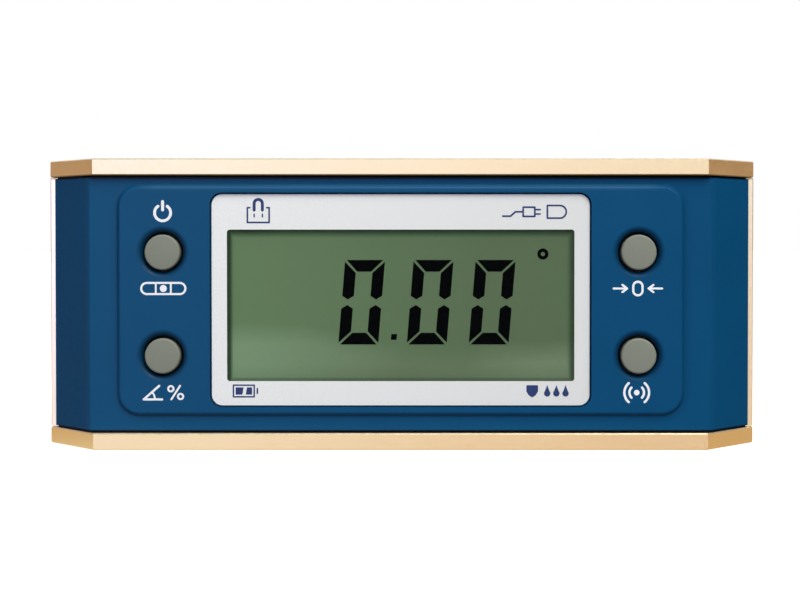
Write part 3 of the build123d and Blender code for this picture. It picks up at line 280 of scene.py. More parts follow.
class Finish:
    """One procedural material, with short calls for the nodes that the finishes share."""

    def __init__(self, name):
        self.material = bpy.data.materials.new(name)
        self.material.use_nodes = True
        self.tree = self.material.node_tree
        self.shader = self.tree.nodes["Principled BSDF"]
        self.output = self.tree.nodes["Material Output"]
        self.place = self.add("ShaderNodeTexCoord").outputs["Object"]

    def add(self, kind, **settings):
        """A new node of the material."""
        node = self.tree.nodes.new(kind)
        for name, value in settings.items():
            setattr(node, name, value)
        return node

    def put(self, socket, value):
        """Links another node's output to a socket, or sets a plain value on it."""
        if isinstance(value, bpy.types.NodeSocket):
            self.tree.links.new(value, socket)
        else:
            socket.default_value = value

    def set(self, **values):
        """Sets the shader's sockets, named in lower case with underscores."""
        for name, value in values.items():
            socket = self.shader.inputs[name.replace("_", " ").title().replace("Ior", "IOR")]
            self.put(socket, value)

    def noise(self, size, detail=2.0, rough=0.5, stretch=(1, 1, 1)):
        """Soft noise whose grains are about size millimetres across."""
        mapping = self.add("ShaderNodeMapping")
        self.put(mapping.inputs["Vector"], self.place)
        mapping.inputs["Scale"].default_value = stretch
        node = self.add("ShaderNodeTexNoise")
        self.put(node.inputs["Vector"], mapping.outputs["Vector"])
        node.inputs["Scale"].default_value = 1 / (size * MM)
        node.inputs["Detail"].default_value = detail
        node.inputs["Roughness"].default_value = rough
        return node.outputs["Fac"]

    def cells(self, size, feature="F1"):
        """Distances in a pattern of cells about size millimetres across."""
        node = self.add("ShaderNodeTexVoronoi", feature=feature)
        self.put(node.inputs["Vector"], self.place)
        node.inputs["Scale"].default_value = 1 / (size * MM)
        return node.outputs["Distance"]

    def along(self, axis):
        """Place along one axis of the frame, in metres."""
        split = self.add("ShaderNodeSeparateXYZ")
        self.put(split.inputs["Vector"], self.place)
        return split.outputs[axis]

    def aside(self):
        """Distance from the frame's middle to either side, in metres."""
        node = self.add("ShaderNodeMath", operation="ABSOLUTE")
        self.put(node.inputs[0], self.along("X"))
        return node.outputs["Value"]

    def math(self, operation, first, *others):
        """Joins two or more sources, one after another, by an operation such as MULTIPLY."""
        for other in others:
            node = self.add("ShaderNodeMath", operation=operation)
            self.put(node.inputs[0], first)
            self.put(node.inputs[1], other)
            first = node.outputs["Value"]
        return first

    def blend(self, factor, first, second):
        """Mixes two colours by a factor that varies over the surface."""
        node = self.add("ShaderNodeMix", data_type="RGBA")
        self.put(node.inputs["Factor"], factor)
        self.put(node.inputs["A"], first)
        self.put(node.inputs["B"], second)
        return node.outputs["Result"]

    def spread(self, source, low, high, start=0.35, end=0.65):
        """Maps a source from start to end onto low to high; noise runs mostly from 0.35 to 0.65."""
        node = self.add("ShaderNodeMapRange")
        self.put(node.inputs["Value"], source)
        for name, value in (("From Min", start), ("From Max", end), ("To Min", low), ("To Max", high)):
            node.inputs[name].default_value = value
        return node.outputs["Result"]

    def within(self, source, rise, fall, most=1.0):
        """Rises from 0 to most over the first pair of places, and falls to 0 again over the second."""
        risen = self.spread(source, 0.0, most, *rise)
        return self.math("MULTIPLY", risen, self.spread(source, 1.0, 0.0, *fall))

    def edges(self, width):
        """1 on edges, falling to 0 over width millimetres, from how far a rounded normal turns away."""
        rounded = self.add("ShaderNodeBevel", samples=EDGE_SAMPLES)
        rounded.inputs["Radius"].default_value = width * MM
        flat = self.add("ShaderNodeNewGeometry")
        product = self.add("ShaderNodeVectorMath", operation="DOT_PRODUCT")
        self.put(product.inputs[0], rounded.outputs["Normal"])
        self.put(product.inputs[1], flat.outputs["Normal"])
        return self.spread(product.outputs["Value"], 1.0, 0.0, *EDGE_TURN)

    def wear(self, width, size, least, most):
        """Wear along edges, width millimetres wide, in patches about size millimetres across."""
        return self.math("MULTIPLY", self.edges(width), self.spread(self.noise(size), least, most))

    def hollows(self, reach):
        """1 deep in a piece's own corners and holes, 0 on open faces, looking reach millimetres about; used
        for painted shade.
        """
        node = self.add("ShaderNodeAmbientOcclusion", samples=HOLLOW_SAMPLES, only_local=True)
        node.inputs["Distance"].default_value = reach * MM
        return self.spread(node.outputs["AO"], 1.0, 0.0, *HOLLOW_OPENNESS)

    def near_keys(self):
        """Distance from the axis of the nearest key, in metres."""
        flat = self.add("ShaderNodeCombineXYZ")
        self.put(flat.inputs["X"], self.along("X"))
        self.put(flat.inputs["Z"], self.along("Z"))
        distances = []
        for key in KEYS:
            low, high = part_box(f"{key}_key")
            away = self.add("ShaderNodeVectorMath", operation="DISTANCE")
            self.put(away.inputs[0], flat.outputs["Vector"])
            away.inputs[1].default_value = ((low.x + high.x) / 2, 0, (low.z + high.z) / 2)
            distances.append(away.outputs["Value"])
        return self.math("MINIMUM", *distances)

    def bump(self, height, depth, strength):
        """Raises the surface by depth millimetres where height is 1."""
        node = self.add("ShaderNodeBump")
        self.put(node.inputs["Height"], height)
        node.inputs["Distance"].default_value = depth * MM
        node.inputs["Strength"].default_value = strength
        self.put(self.shader.inputs["Normal"], node.outputs["Normal"])


def gold_anodised():
    """Satin anodised aluminium: fine blasted grain, paler on the end plates and along its edges, with a
    painted highlight on the left plate's front edge and painted shade by the top rail.
    """
    finish = Finish("gold_anodised")
    height = finish.along("Z")
    rails = finish.blend(finish.noise(9.0), (0.90, 0.73, 0.48, 1), (0.94, 0.77, 0.52, 1))
    # Painted highlight along the left end plate's front edge.
    front = finish.spread(finish.along("Y"), 1.0, 0.0, *PAINTED_HIGHLIGHT_BACK)
    left = finish.spread(finish.along("X"), 1.0, 0.0, *PAINTED_HIGHLIGHT_RIGHT)
    painted_highlight = finish.math("MULTIPLY", front, left)
    plates = finish.blend(painted_highlight, (0.94, 0.83, 0.67, 1), (1.0, 0.94, 0.86, 1))
    tone = finish.blend(finish.within(height, END_PLATE_FOOT, END_PLATE_HEAD), rails, plates)
    rubbed = finish.wear(width=0.25, size=0.8, least=0.1, most=0.7)
    worn = finish.blend(rubbed, tone, (0.93, 0.86, 0.72, 1))
    # Painted shade on the top rail's underside and lower edge.
    under = finish.spread(height, 0.0, UNDERSIDE_SHADE, *TOP_RAIL_UNDERSIDE)
    # Painted shade on the end plates' upper rim, under the top rail.
    rim = finish.spread(height, 0.0, PLATE_RIM_SHADE, *PLATE_RIM)
    ends = finish.spread(height, 1.0, 0.0, *TOP_RAIL_EDGE)
    dark = finish.math("MULTIPLY", finish.math("MAXIMUM", under, rim), ends)
    finish.set(
        base_color=finish.blend(dark, worn, (0.10, 0.07, 0.04, 1)),
        metallic=1.0,
        roughness=finish.spread(finish.noise(0.7, detail=4.0), 0.33, 0.42),
    )
    finish.bump(finish.noise(0.16, detail=3.0), depth=0.012, strength=0.5)
    return finish.material


def moulded_tone(finish, light, deep, pale):
    """Mottled colour of moulded plastic, rubbed paler along its edges."""
    tone = finish.blend(finish.noise(14.0, detail=3.0), deep, light)
    rubbed = finish.wear(width=0.2, size=1.1, least=0.05, most=0.35)
    return finish.blend(rubbed, tone, pale)


def moulded_plastic(name, light, deep, rough, grain=0.22, shine=0.4):
    """Moulded plastic with a spark-eroded grain, rubbed paler along its edges."""
    finish = Finish(name)
    pale = tuple(min(1.0, share * RUBBED_GAIN + RUBBED_LIFT) for share in light[:3]) + (1.0,)
    finish.set(
        base_color=moulded_tone(finish, light, deep, pale),
        roughness=finish.spread(finish.noise(0.9, detail=4.0), rough - 0.05, rough + 0.05),
        specular_ior_level=shine,
    )
    finish.bump(finish.noise(grain, detail=3.0, rough=0.6), depth=0.02, strength=0.35)
    return finish.material


def front_plastic():
    """The front's blue plastic, with painted shade in corners, along the rails and round each key, and a
    painted highlight at the top.
    """
    finish = Finish("body_blue")
    height, across, aside = finish.along("Z"), finish.along("X"), finish.aside()
    tone = moulded_tone(finish, srgb(7, 73, 115), srgb(5, 67, 107), srgb(27, 96, 146))
    # Painted highlight along the panel's top edge.
    light = finish.within(height, PANEL_PAINTED_HIGHLIGHT_FOOT, PANEL_PAINTED_HIGHLIGHT_HEAD, PANEL_PAINTED_HIGHLIGHT)
    light = finish.math("MULTIPLY", light, finish.spread(aside, 1.0, 0.0, *PANEL_PAINTED_HIGHLIGHT_END))
    lit = finish.blend(light, tone, srgb(66, 114, 146))
    # Painted shade in the front's own corners and holes, fading out towards the panel's top.
    below = finish.spread(height, HOLLOW_SHADE, 0.0, *HOLLOW_END)
    corners = finish.math("MULTIPLY", finish.hollows(HOLLOW_REACH), below)
    # Painted shade in the dish round each key.
    dish = finish.spread(finish.near_keys(), DISH_SHADE, 0.0, *DISH_RIM)
    # Painted shadow lines along the base rail and the top rail.
    base_line = finish.spread(height, RAIL_LINE_SHADE, 0.0, *BASE_RAIL_LINE)
    top_line = finish.spread(height, 0.0, RAIL_LINE_SHADE, *TOP_RAIL_LINE)
    top_line = finish.math("MULTIPLY", top_line, finish.spread(aside, 1.0, 0.0, *LINE_END))
    thin_line = finish.spread(height, 0.0, RAIL_LINE_SHADE, *TOP_RAIL_THIN_LINE)
    shade = finish.math("MAXIMUM", corners, dish, base_line, top_line, thin_line)
    left = finish.spread(across, DULL_LEFT_SHARE, 1.0, *DULL_LEFT)
    right = finish.spread(across, 1.0, DULL_RIGHT_SHARE, *DULL_RIGHT)
    polish = finish.spread(across, FRONT_POLISH_LEFT, FRONT_POLISH_RIGHT, *FRONT_POLISH)
    finish.set(
        base_color=finish.blend(shade, lit, srgb(2, 10, 20)),
        roughness=finish.spread(finish.noise(0.9, detail=4.0), 0.39, 0.49),
        specular_ior_level=finish.math("MULTIPLY", left, right, polish),
    )
    finish.bump(finish.noise(0.22, detail=3.0, rough=0.6), depth=0.02, strength=0.35)
    return finish.material


def rubber(name, light, deep, rough=0.62, grain=0.35):
    """Soft rubber: matt, a little uneven, with dust in its grain."""
    finish = Finish(name)
    speckle = finish.spread(finish.noise(grain, detail=4.0, rough=0.65), 0.0, 1.0)
    cloud = finish.blend(finish.noise(4.0), deep, light)
    finish.set(
        base_color=finish.blend(finish.math("MULTIPLY", speckle, 0.35), cloud, deep),
        roughness=finish.spread(finish.noise(0.6), rough - 0.06, rough + 0.06),
        specular_ior_level=0.3,
    )
    finish.bump(finish.noise(grain * 0.6, detail=3.0), depth=0.02, strength=0.3)
    return finish.material


def ink(finish, colour, rough=0.5, shine=0.3):
    """Gives a finish this colour, with the sheen and the faint relief of screen printed ink."""
    finish.set(
        base_color=colour,
        roughness=finish.spread(finish.noise(0.3), rough - 0.05, rough + 0.05),
        specular_ior_level=shine,
    )
    finish.bump(finish.noise(0.12), depth=0.004, strength=0.3)
    return finish.material


def printed(name, light, deep, **sheen):
    """Screen printed ink, slightly mottled."""
    finish = Finish(name)
    return ink(finish, finish.blend(finish.noise(0.5, detail=3.0), deep, light), **sheen)


def border_print():
    """White ink round the display, slightly mottled, with painted shade that greys it to the right."""
    finish = Finish("white_print")
    # Painted shade, greying the border to the right.
    across = finish.spread(finish.along("X"), 0.0, 1.0, *BORDER_SHADE_STRETCH)
    fade = finish.blend(across, srgb(233, 234, 235), srgb(217, 218, 218))
    mottle = finish.spread(finish.noise(0.5, detail=3.0), 0.0, 0.3)
    return ink(finish, finish.blend(mottle, fade, srgb(216, 216, 215)))


def clear_pane(name, tint, index, rough):
    """A clear flat pane, coated against glare: seen straight through, with a gloss at grazing angles."""
    finish = Finish(name)
    finish.tree.nodes.remove(finish.shader)
    through = finish.add("ShaderNodeBsdfTransparent")
    through.inputs["Color"].default_value = tint
    gloss = finish.add("ShaderNodeBsdfGlossy")
    gloss.inputs["Color"].default_value = COATING_TINT
    smears = finish.spread(finish.noise(3.0, detail=4.0), *rough)
    finish.put(gloss.inputs["Roughness"], smears)
    fresnel = finish.add("ShaderNodeFresnel")
    fresnel.inputs["IOR"].default_value = index
    straight = ((index - 1) / (index + 1)) ** 2
    coated = finish.spread(fresnel.outputs["Fac"], 0.0, 1.0, straight, 1.0)
    facing = finish.math("SUBTRACT", 1.0, finish.add("ShaderNodeNewGeometry").outputs["Backfacing"])
    mix = finish.add("ShaderNodeMixShader")
    finish.put(mix.inputs[0], finish.math("MULTIPLY", coated, facing))
    finish.put(mix.inputs[1], through.outputs["BSDF"])
    finish.put(mix.inputs[2], gloss.outputs["BSDF"])
    finish.put(finish.output.inputs["Surface"], mix.outputs["Shader"])
    return finish.material


def display_ground(name):
    """Green-grey ground of the display, with painted shade to the right, a painted reflection low down and
    painted shadow at its edges.
    """
    finish = Finish(name)
    height, across = finish.along("Z"), finish.along("X")
    # Painted shade, darker to the right.
    fade = finish.spread(across, 0.0, 1.0, *DISPLAY_SHADE_STRETCH)
    plain = finish.blend(fade, srgb(97, 123, 88), srgb(85, 105, 77))
    # Painted reflection over the display's lower part.
    dim = finish.spread(across, 0.0, 1.0, *REFLECTION_DIM)
    pale = finish.blend(dim, srgb(120, 146, 114), srgb(99, 118, 90))
    pale = finish.blend(finish.spread(across, 0.0, 1.0, *REFLECTION_LIGHTEN), pale, srgb(110, 129, 101))
    climb = finish.math(
        "MAXIMUM",
        finish.spread(across, REFLECTION_CLIMB_LEFT, 0.0, *REFLECTION_SLOPE_LEFT),
        finish.spread(across, 0.0, REFLECTION_CLIMB_RIGHT, *REFLECTION_SLOPE_RIGHT),
    )
    wander = finish.spread(finish.noise(16.0, detail=3.0), -PALE_WANDER, PALE_WANDER)
    wavy = finish.math("SUBTRACT", finish.math("ADD", height, wander), climb)
    with_reflection = finish.blend(finish.spread(wavy, 1.0, 0.0, *DISPLAY_REFLECTION), plain, pale)
    grain = finish.spread(finish.noise(0.25, detail=4.0), 0.0, 0.2)
    ground = finish.blend(grain, with_reflection, srgb(82, 105, 75))
    # Painted shadow along the display's edges, and painted shade along its foot.
    edge_shadow = finish.math(
        "MAXIMUM",
        finish.spread(across, DISPLAY_EDGE_SHADOW_LEFT_STRENGTH, 0.0, *DISPLAY_EDGE_SHADOW_LEFT),
        finish.spread(across, 0.0, DISPLAY_EDGE_SHADOW_RIGHT_STRENGTH, *DISPLAY_EDGE_SHADOW_RIGHT),
        finish.spread(height, DISPLAY_EDGE_SHADOW_FOOT_STRENGTH, 0.0, *DISPLAY_EDGE_SHADOW_FOOT),
        finish.spread(height, 0.0, DISPLAY_EDGE_SHADOW_HEAD_STRENGTH, *DISPLAY_EDGE_SHADOW_HEAD),
        finish.spread(height, DISPLAY_FOOT_SHADE_STRENGTH, 0.0, *DISPLAY_FOOT_SHADE),
    )
    finish.set(
        base_color=finish.blend(edge_shadow, ground, srgb(26, 52, 34)),
        roughness=finish.spread(finish.noise(0.5), 0.55, 0.7),
        specular_ior_level=0.2,
    )
    finish.bump(finish.noise(0.1), depth=0.004, strength=0.3)
    return finish.material


def metal(name, light, deep, rough):
    """Bare or plated metal with fine marks and scuffed edges."""
    finish = Finish(name)
    tone = finish.blend(finish.noise(1.6, detail=4.0), deep, light)
    scuffed = finish.wear(width=0.12, size=0.5, least=0.1, most=0.6)
    finish.set(
        base_color=finish.blend(scuffed, tone, (0.85, 0.84, 0.82, 1)),
        metallic=1.0,
        roughness=finish.spread(finish.noise(0.4, detail=4.0), rough - 0.07, rough + 0.07),
    )
    finish.bump(finish.noise(0.3, detail=3.0), depth=0.008, strength=0.4)
    return finish.material


def circuit_board():
    """Green solder mask with the copper under it showing as faintly raised tracks."""
    finish = Finish("board_green")
    track = finish.spread(finish.cells(2.4, feature="DISTANCE_TO_EDGE"), 1.0, 0.0, 0.10, 0.16)
    finish.set(
        base_color=finish.blend(track, (0.010, 0.085, 0.035, 1), (0.022, 0.15, 0.06, 1)),
        roughness=finish.spread(finish.noise(0.6), 0.28, 0.4),
    )
    finish.bump(track, depth=0.03, strength=0.4)
    return finish.material


def light_guide():
    """Milky clear acrylic with a dotted back."""
    finish = Finish("light_guide_clear")
    dots = finish.spread(finish.cells(0.8), 1.0, 0.0, 0.22, 0.30)
    finish.set(
        base_color=finish.blend(dots, (0.62, 0.66, 0.64, 1), (0.82, 0.84, 0.83, 1)),
        roughness=finish.spread(finish.noise(0.7), 0.12, 0.25),
    )
    finish.bump(dots, depth=0.02, strength=0.4)
    return finish.material


def shrink_wrap():
    """Thin printed film round the cell, a little wrinkled along its length."""
    finish = Finish("cell_wrap")
    wrinkle = finish.noise(1.2, detail=3.0, stretch=(0.25, 1, 1))
    finish.set(
        base_color=finish.blend(finish.noise(5.0), (0.02, 0.10, 0.12, 1), (0.03, 0.14, 0.16, 1)),
        roughness=finish.spread(finish.noise(0.8), 0.25, 0.4),
    )
    finish.bump(wrinkle, depth=0.03, strength=0.4)
    return finish.material


FINISHES = {
    "gold_anodised": gold_anodised(),
    "body_blue": front_plastic(),
    "rear_blue": moulded_plastic("rear_blue", srgb(8, 76, 119), srgb(6, 70, 111), rough=0.52, shine=0.2),
    "white_print": border_print(),
    "clear_lens": clear_pane("clear_lens", (0.99, 0.99, 0.99, 1), index=1.45, rough=(0.02, 0.05)),
    "lcd_glass": clear_pane("lcd_glass", (0.985, 0.99, 0.985, 1), index=1.2, rough=(0.02, 0.06)),
    "lcd_ground": display_ground("lcd_ground"),
    "lcd_green": display_ground("lcd_green"),
    "light_guide_clear": light_guide(),
    "key_grey": rubber("key_grey", srgb(127, 131, 120), srgb(117, 122, 111)),
    "web_grey": rubber("web_grey", srgb(112, 116, 110), srgb(100, 104, 98)),
    "carbon": rubber("carbon", srgb(34, 34, 35), srgb(24, 24, 25), rough=0.7, grain=0.2),
    "black_rubber": rubber("black_rubber", srgb(34, 35, 37), srgb(25, 26, 28)),
    "black_foam": rubber("black_foam", srgb(30, 30, 31), srgb(18, 18, 19), rough=0.85, grain=0.5),
    "black_plastic": moulded_plastic("black_plastic", srgb(32, 33, 35), srgb(26, 27, 29), rough=0.5),
    "white_plastic": moulded_plastic("white_plastic", srgb(222, 221, 216), srgb(212, 211, 206), rough=0.45),
    "board_green": circuit_board(),
    "chip_black": moulded_plastic("chip_black", srgb(38, 38, 40), srgb(30, 30, 32), rough=0.6, grain=0.12),
    "steel": metal("steel", (0.56, 0.56, 0.57, 1), (0.46, 0.46, 0.47, 1), rough=0.34),
    "nickel": metal("nickel", (0.66, 0.63, 0.58, 1), (0.58, 0.55, 0.50, 1), rough=0.26),
    "magnet": metal("magnet", (0.62, 0.61, 0.59, 1), (0.54, 0.53, 0.52, 1), rough=0.22),
    "brass_post": metal("brass_post", (0.72, 0.53, 0.24, 1), (0.62, 0.45, 0.20, 1), rough=0.3),
    "cell_wrap": shrink_wrap(),
    "tin": metal("tin", (0.60, 0.60, 0.61, 1), (0.48, 0.48, 0.50, 1), rough=0.38),
}
SIGN_WHITE = printed("sign_white", srgb(238, 240, 243), srgb(228, 231, 236))
SIGN_NAVY = printed("sign_navy", srgb(38, 58, 112), srgb(30, 48, 98))
SEGMENT_BLACK = printed("segment_black", srgb(5, 6, 8), srgb(2, 3, 4), rough=0.7, shine=0.02)


def dress_nodes():
    """Gives each CAD node its record slot's finish, and lets light straight through the clear panes."""
    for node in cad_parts.values():
        for place in node.material_slots:
            place.material = FINISHES[place.material.name.split(".")[0]]
    for pane in ("display_lens", "lcd_front_glass"):
        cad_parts[pane].visible_diffuse = False
    for thin in ("display_lens", "lcd_front_glass", "display_mask", "lcd_foam"):
        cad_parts[thin].visible_shadow = False


def disc(centre, radius):
    """Outline of a round spot."""
    steps = max(SPOT_STEPS, round(2 * math.pi * radius / CURVE_STEP))
    turn = 2 * math.pi / steps
    angles = [i * turn for i in range(steps)]
    return [(centre[0] + radius * math.cos(a), centre[1] + radius * math.sin(a)) for a in angles]


def bar(start, end, width):
    """Outlines of a straight stroke with round ends."""
    along = Vector(end) - Vector(start)
    side = Vector((-along.y, along.x)).normalized() * width / 2
    first, last = Vector(start), Vector(end)
    strip = [tuple(first + side), tuple(first - side), tuple(last - side), tuple(last + side)]
    return [strip, disc(start, width / 2), disc(end, width / 2)]


def bars(points, width, closed=False):
    """Outlines of a stroke through several points."""
    ends = points[1:] + points[:1] if closed else points[1:]
    return [outline for pair in zip(points, ends) for outline in bar(*pair, width)]


def arc(centre, radius, width, start, end):
    """Outlines of a curved stroke, with angles in degrees, anticlockwise from the right."""
    steps = max(ARC_STEPS, round(radius * math.radians(abs(end - start)) / CURVE_STEP))
    angles = [math.radians(start + (end - start) * i / steps) for i in range(steps + 1)]
    rim = [(math.cos(a), math.sin(a)) for a in angles]
    inner, outer = radius - width / 2, radius + width / 2

    def at(index, reach):
        return (centre[0] + reach * rim[index][0], centre[1] + reach * rim[index][1])

    outlines = [[at(i, inner), at(i, outer), at(i + 1, outer), at(i + 1, inner)] for i in range(steps)]
    if abs(end - start) < 360:
        outlines += [disc(at(0, radius), width / 2), disc(at(steps, radius), width / 2)]
    return outlines


def moved(outlines, place):
    """The outlines shifted to a place, in millimetres."""
    return [[(x + place[0], z + place[1]) for x, z in outline] for outline in outlines]


def slanted(outlines, lean):
    """The outlines leaned to the right by lean for each unit of height."""
    return [[(x + z * lean, z) for x, z in outline] for outline in outlines]


def anticlockwise(outline):
    """The outline, turned round if it runs clockwise."""
    turned = outline[1:] + outline[:1]
    area = sum(x0 * z1 - x1 * z0 for (x0, z0), (x1, z1) in zip(outline, turned))
    return outline if area > 0 else outline[::-1]


def scene_object(name, mesh, material):
    """An object in the scene from a finished mesh, with one material."""
    data = bpy.data.meshes.new(name)
    mesh.to_mesh(data)
    mesh.free()
    data.materials.append(material)
    made = bpy.data.objects.new(name, data)
    bpy.context.scene.collection.objects.link(made)
    return made


def flat_piece(name, outlines, back, thickness, material):
    """A thin plate from outlines in millimetres, merged where they overlap, with its back at Y = back."""
    corners, faces = [], []
    for outline in outlines:
        faces.append(list(range(len(corners), len(corners) + len(outline))))
        corners += [Vector(point) for point in anticlockwise(outline)]
    merged = geometry.delaunay_2d_cdt(corners, [], faces, KEEP_INSIDE, CLOSED_GAP)
    points, triangles, origins = merged[0], merged[2], merged[5]
    kept = [triangle for triangle, origin in zip(triangles, origins) if origin]
    mesh = bmesh.new()
    verts = [mesh.verts.new((p.x * MM, back - thickness * MM, p.y * MM)) for p in points]
    for triangle in kept:
        mesh.faces.new([verts[i] for i in triangle])
    bmesh.ops.delete(mesh, geom=[v for v in mesh.verts if not v.link_faces], context="VERTS")
    bmesh.ops.dissolve_limit(mesh, angle_limit=FLAT_TURN, verts=mesh.verts, edges=mesh.edges)
    bmesh.ops.recalc_face_normals(mesh, faces=mesh.faces)
    grown = bmesh.ops.extrude_face_region(mesh, geom=mesh.faces[:])
    shifted = [g for g in grown["geom"] if isinstance(g, bmesh.types.BMVert)]
    bmesh.ops.translate(mesh, verts=shifted, vec=(0, thickness * MM, 0))
    bmesh.ops.recalc_face_normals(mesh, faces=mesh.faces)
    piece = scene_object(name, mesh, material)
    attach(piece, BODY)


def centre_of(node):
    """A node's middle in the front plane, in millimetres."""
    low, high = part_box(node)
    return ((low.x + high.x) / 2 / MM, (low.z + high.z) / 2 / MM)


def skirt_profile(neck, foot, front, back):
    """Section of a skirt as radius and depth, out along its outer side and home along its inner one."""
    shares = [i / SKIRT_ROWS for i in range(SKIRT_ROWS + 1)]

    def at(share, inset):
        return (neck + (foot - neck) * share - inset * MM, front + (back - front) * share)

    thin = [SKIRT_THINNING * math.sin(math.pi * share) for share in shares]
    outer = [at(share, cut) for share, cut in zip(shares, thin)]
    inner = [at(share, SKIRT_WALL - cut) for share, cut in zip(shares, thin)]
    return outer + inner[::-1]


def key_skirt(key):
    """The silicone skirt that carries a key, built at rest; the real one folds down on its foot as the key
    is pressed.
    """
    node, joint = f"{key}_key_dome", f"{key}_press"
    low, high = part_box(node)
    cap_low, cap_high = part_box(f"{key}_key")
    centre = (low + high) / 2
    profile = skirt_profile((cap_high.x - cap_low.x) / 2, (high.x - low.x) / 2, low.y, high.y)
    mesh = bmesh.new()
    rings = []
    for i in range(SKIRT_SEGMENTS):
        turn = 2 * math.pi * i / SKIRT_SEGMENTS
        x, z = math.cos(turn), math.sin(turn)
        rings.append([mesh.verts.new((centre.x + r * x, y, centre.z + r * z)) for r, y in profile])
    for ring, after in zip(rings, rings[1:] + rings[:1]):
        for i in range(len(profile)):
            mesh.faces.new((ring[i - 1], ring[i], after[i], after[i - 1]))
    bmesh.ops.recalc_face_normals(mesh, faces=mesh.faces)
    for face in mesh.faces:
        face.smooth = True
    for edge in mesh.edges:
        edge.smooth = edge.calc_face_angle() < math.radians(SKIRT_CREASE)
    skirt = scene_object(f"{key}_key_skirt", mesh, FINISHES["web_grey"])
    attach(skirt, BODY)
    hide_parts(node)
    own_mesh(skirt)


def zero_segments():
    """The six lit segments of a nought, about its middle and not yet slanted."""
    half, tall, stroke = DIGIT_WIDTH / 2, DIGIT_HEIGHT / 2, DIGIT_STROKE
    level = [
        (-half + SEGMENT_OUTER_GAP, tall),
        (half - SEGMENT_OUTER_GAP, tall),
        (half - stroke - SEGMENT_INNER_GAP, tall - stroke),
        (-half + stroke + SEGMENT_INNER_GAP, tall - stroke),
    ]
    shoulder = SEGMENT_MIDDLE_GAP + SEGMENT_POINT
    upright = [
        (-half, tall - SEGMENT_OUTER_GAP),
        (-half + stroke, tall - stroke - SEGMENT_INNER_GAP),
        (-half + stroke, shoulder),
        (-half + stroke / 2, SEGMENT_MIDDLE_GAP),
        (-half, shoulder),
    ]
    flips = ((1, 1), (-1, 1), (1, -1), (-1, -1))
    uprights = [[(x * a, z * b) for x, z in upright] for a, b in flips]
    return uprights + [level, [(x, -z) for x, z in level]]


def display_figures():
    """Noughts, point and degree ring, black, between the two panes of the display glass."""
    lean = math.tan(math.radians(DIGIT_SLANT))
    middle = Vector(centre_of("lcd_rear_film")) + Vector((0, DIGIT_RISE))
    half = POINT_SIZE / 2
    point = [[(-half, -half), (half, -half), (half, half), (-half, half)]]
    outlines = [o for place in DIGIT_PLACES for o in moved(slanted(zero_segments(), lean), (place, 0))]
    outlines += moved(slanted(point, lean), POINT_PLACE)
    outlines += arc(DEGREE_PLACE, DEGREE_RADIUS, DEGREE_LINE, 0, 360)
    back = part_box("lcd_front_glass")[1].y + FIGURE_THICKNESS / 2 * MM
    flat_piece("display_figures", moved(outlines, middle), back, FIGURE_THICKNESS, SEGMENT_BLACK)


def power_sign():
    """Broken ring with a bar at the top."""
    radius, gap, line, stem = 1.65, 35, 0.58, 0.62
    return arc((0, 0), radius, line, 90 + gap, 450 - gap) + bar((0, 0.6), (0, 2.3), stem)


def bubble_sign():
    """Spirit vial with its bubble between two marks."""
    reach, half, line = 3.4, 1.15, 0.42
    vial = bar((-reach, half), (reach, half), line) + bar((-reach, -half), (reach, -half), line)
    ends = arc((-reach, 0), half, line, 90, 270) + arc((reach, 0), half, line, -90, 90)
    mark, tall, thin, bubble = 1.55, 0.95, 0.38, 0.72
    marks = bar((-mark, -tall), (-mark, tall), thin) + bar((mark, -tall), (mark, tall), thin)
    return vial + ends + marks + [disc((0, 0), bubble)]


def percent_sign():
    """Angle beside a percent mark."""
    corner, line, sweep = (-4.1, -1.4), 0.45, 2.3
    angle = bars([(-0.9, 1.4), corner, (-0.3, -1.4)], line) + arc(corner, sweep, 0.36, 4, 38)
    radius, thin = 0.55, 0.4
    rings = arc((1.5, 0.8), radius, thin, 0, 360) + arc((3.5, -0.8), radius, thin, 0, 360)
    return angle + rings + bar((1.6, -1.4), (3.4, 1.4), thin)


def zero_sign():
    """A nought between two arrows that point at it."""
    half, rise, line = 0.95, 0.45, 0.45
    outlines = arc((0, rise), half, line, 0, 180) + arc((0, -rise), half, line, 180, 360)
    outlines += bar((-half, -rise), (-half, rise), line) + bar((half, -rise), (half, rise), line)
    tail, neck, tip, barb_root, barb, thin = 5.0, 2.6, 2.2, 3.2, 0.75, 0.42
    for way in (-1, 1):
        outlines += bar((way * tail, 0), (way * neck, 0), thin)
        outlines += bars([(way * barb_root, barb), (way * tip, 0), (way * barb_root, -barb)], thin)
    return outlines


def sound_sign():
    """Spot between two pairs of waves."""
    spot, line = 0.58, 0.48
    outlines = [disc((0, 0), spot)]
    for turn in (0, 180):
        for radius, spread in ((1.5, 44), (2.55, 50)):
            outlines += arc((0, 0), radius, line, turn - spread, turn + spread)
    return outlines


def magnet_sign():
    """Horseshoe magnet that pulls at an open tray."""
    leg, head, foot, thick = 0.85, 1.45, 0.1, 0.62
    bow = arc((0, head), leg, thick, 0, 180)
    legs = bar((-leg, head), (-leg, foot), thick) + bar((leg, head), (leg, foot), thick)
    near, far, thin = -0.75, -1.3, 0.3
    pull = bar((-leg, near), (-leg, far), thin) + bar((leg, near), (leg, far), thin)
    side, lip, rim, base, line = 2.25, 1.75, 0.6, -2.45, 0.34
    tray = bars([(-lip, rim), (-side, rim), (-side, base), (side, base), (side, rim), (lip, rim)], line)
    return bow + legs + pull + tray


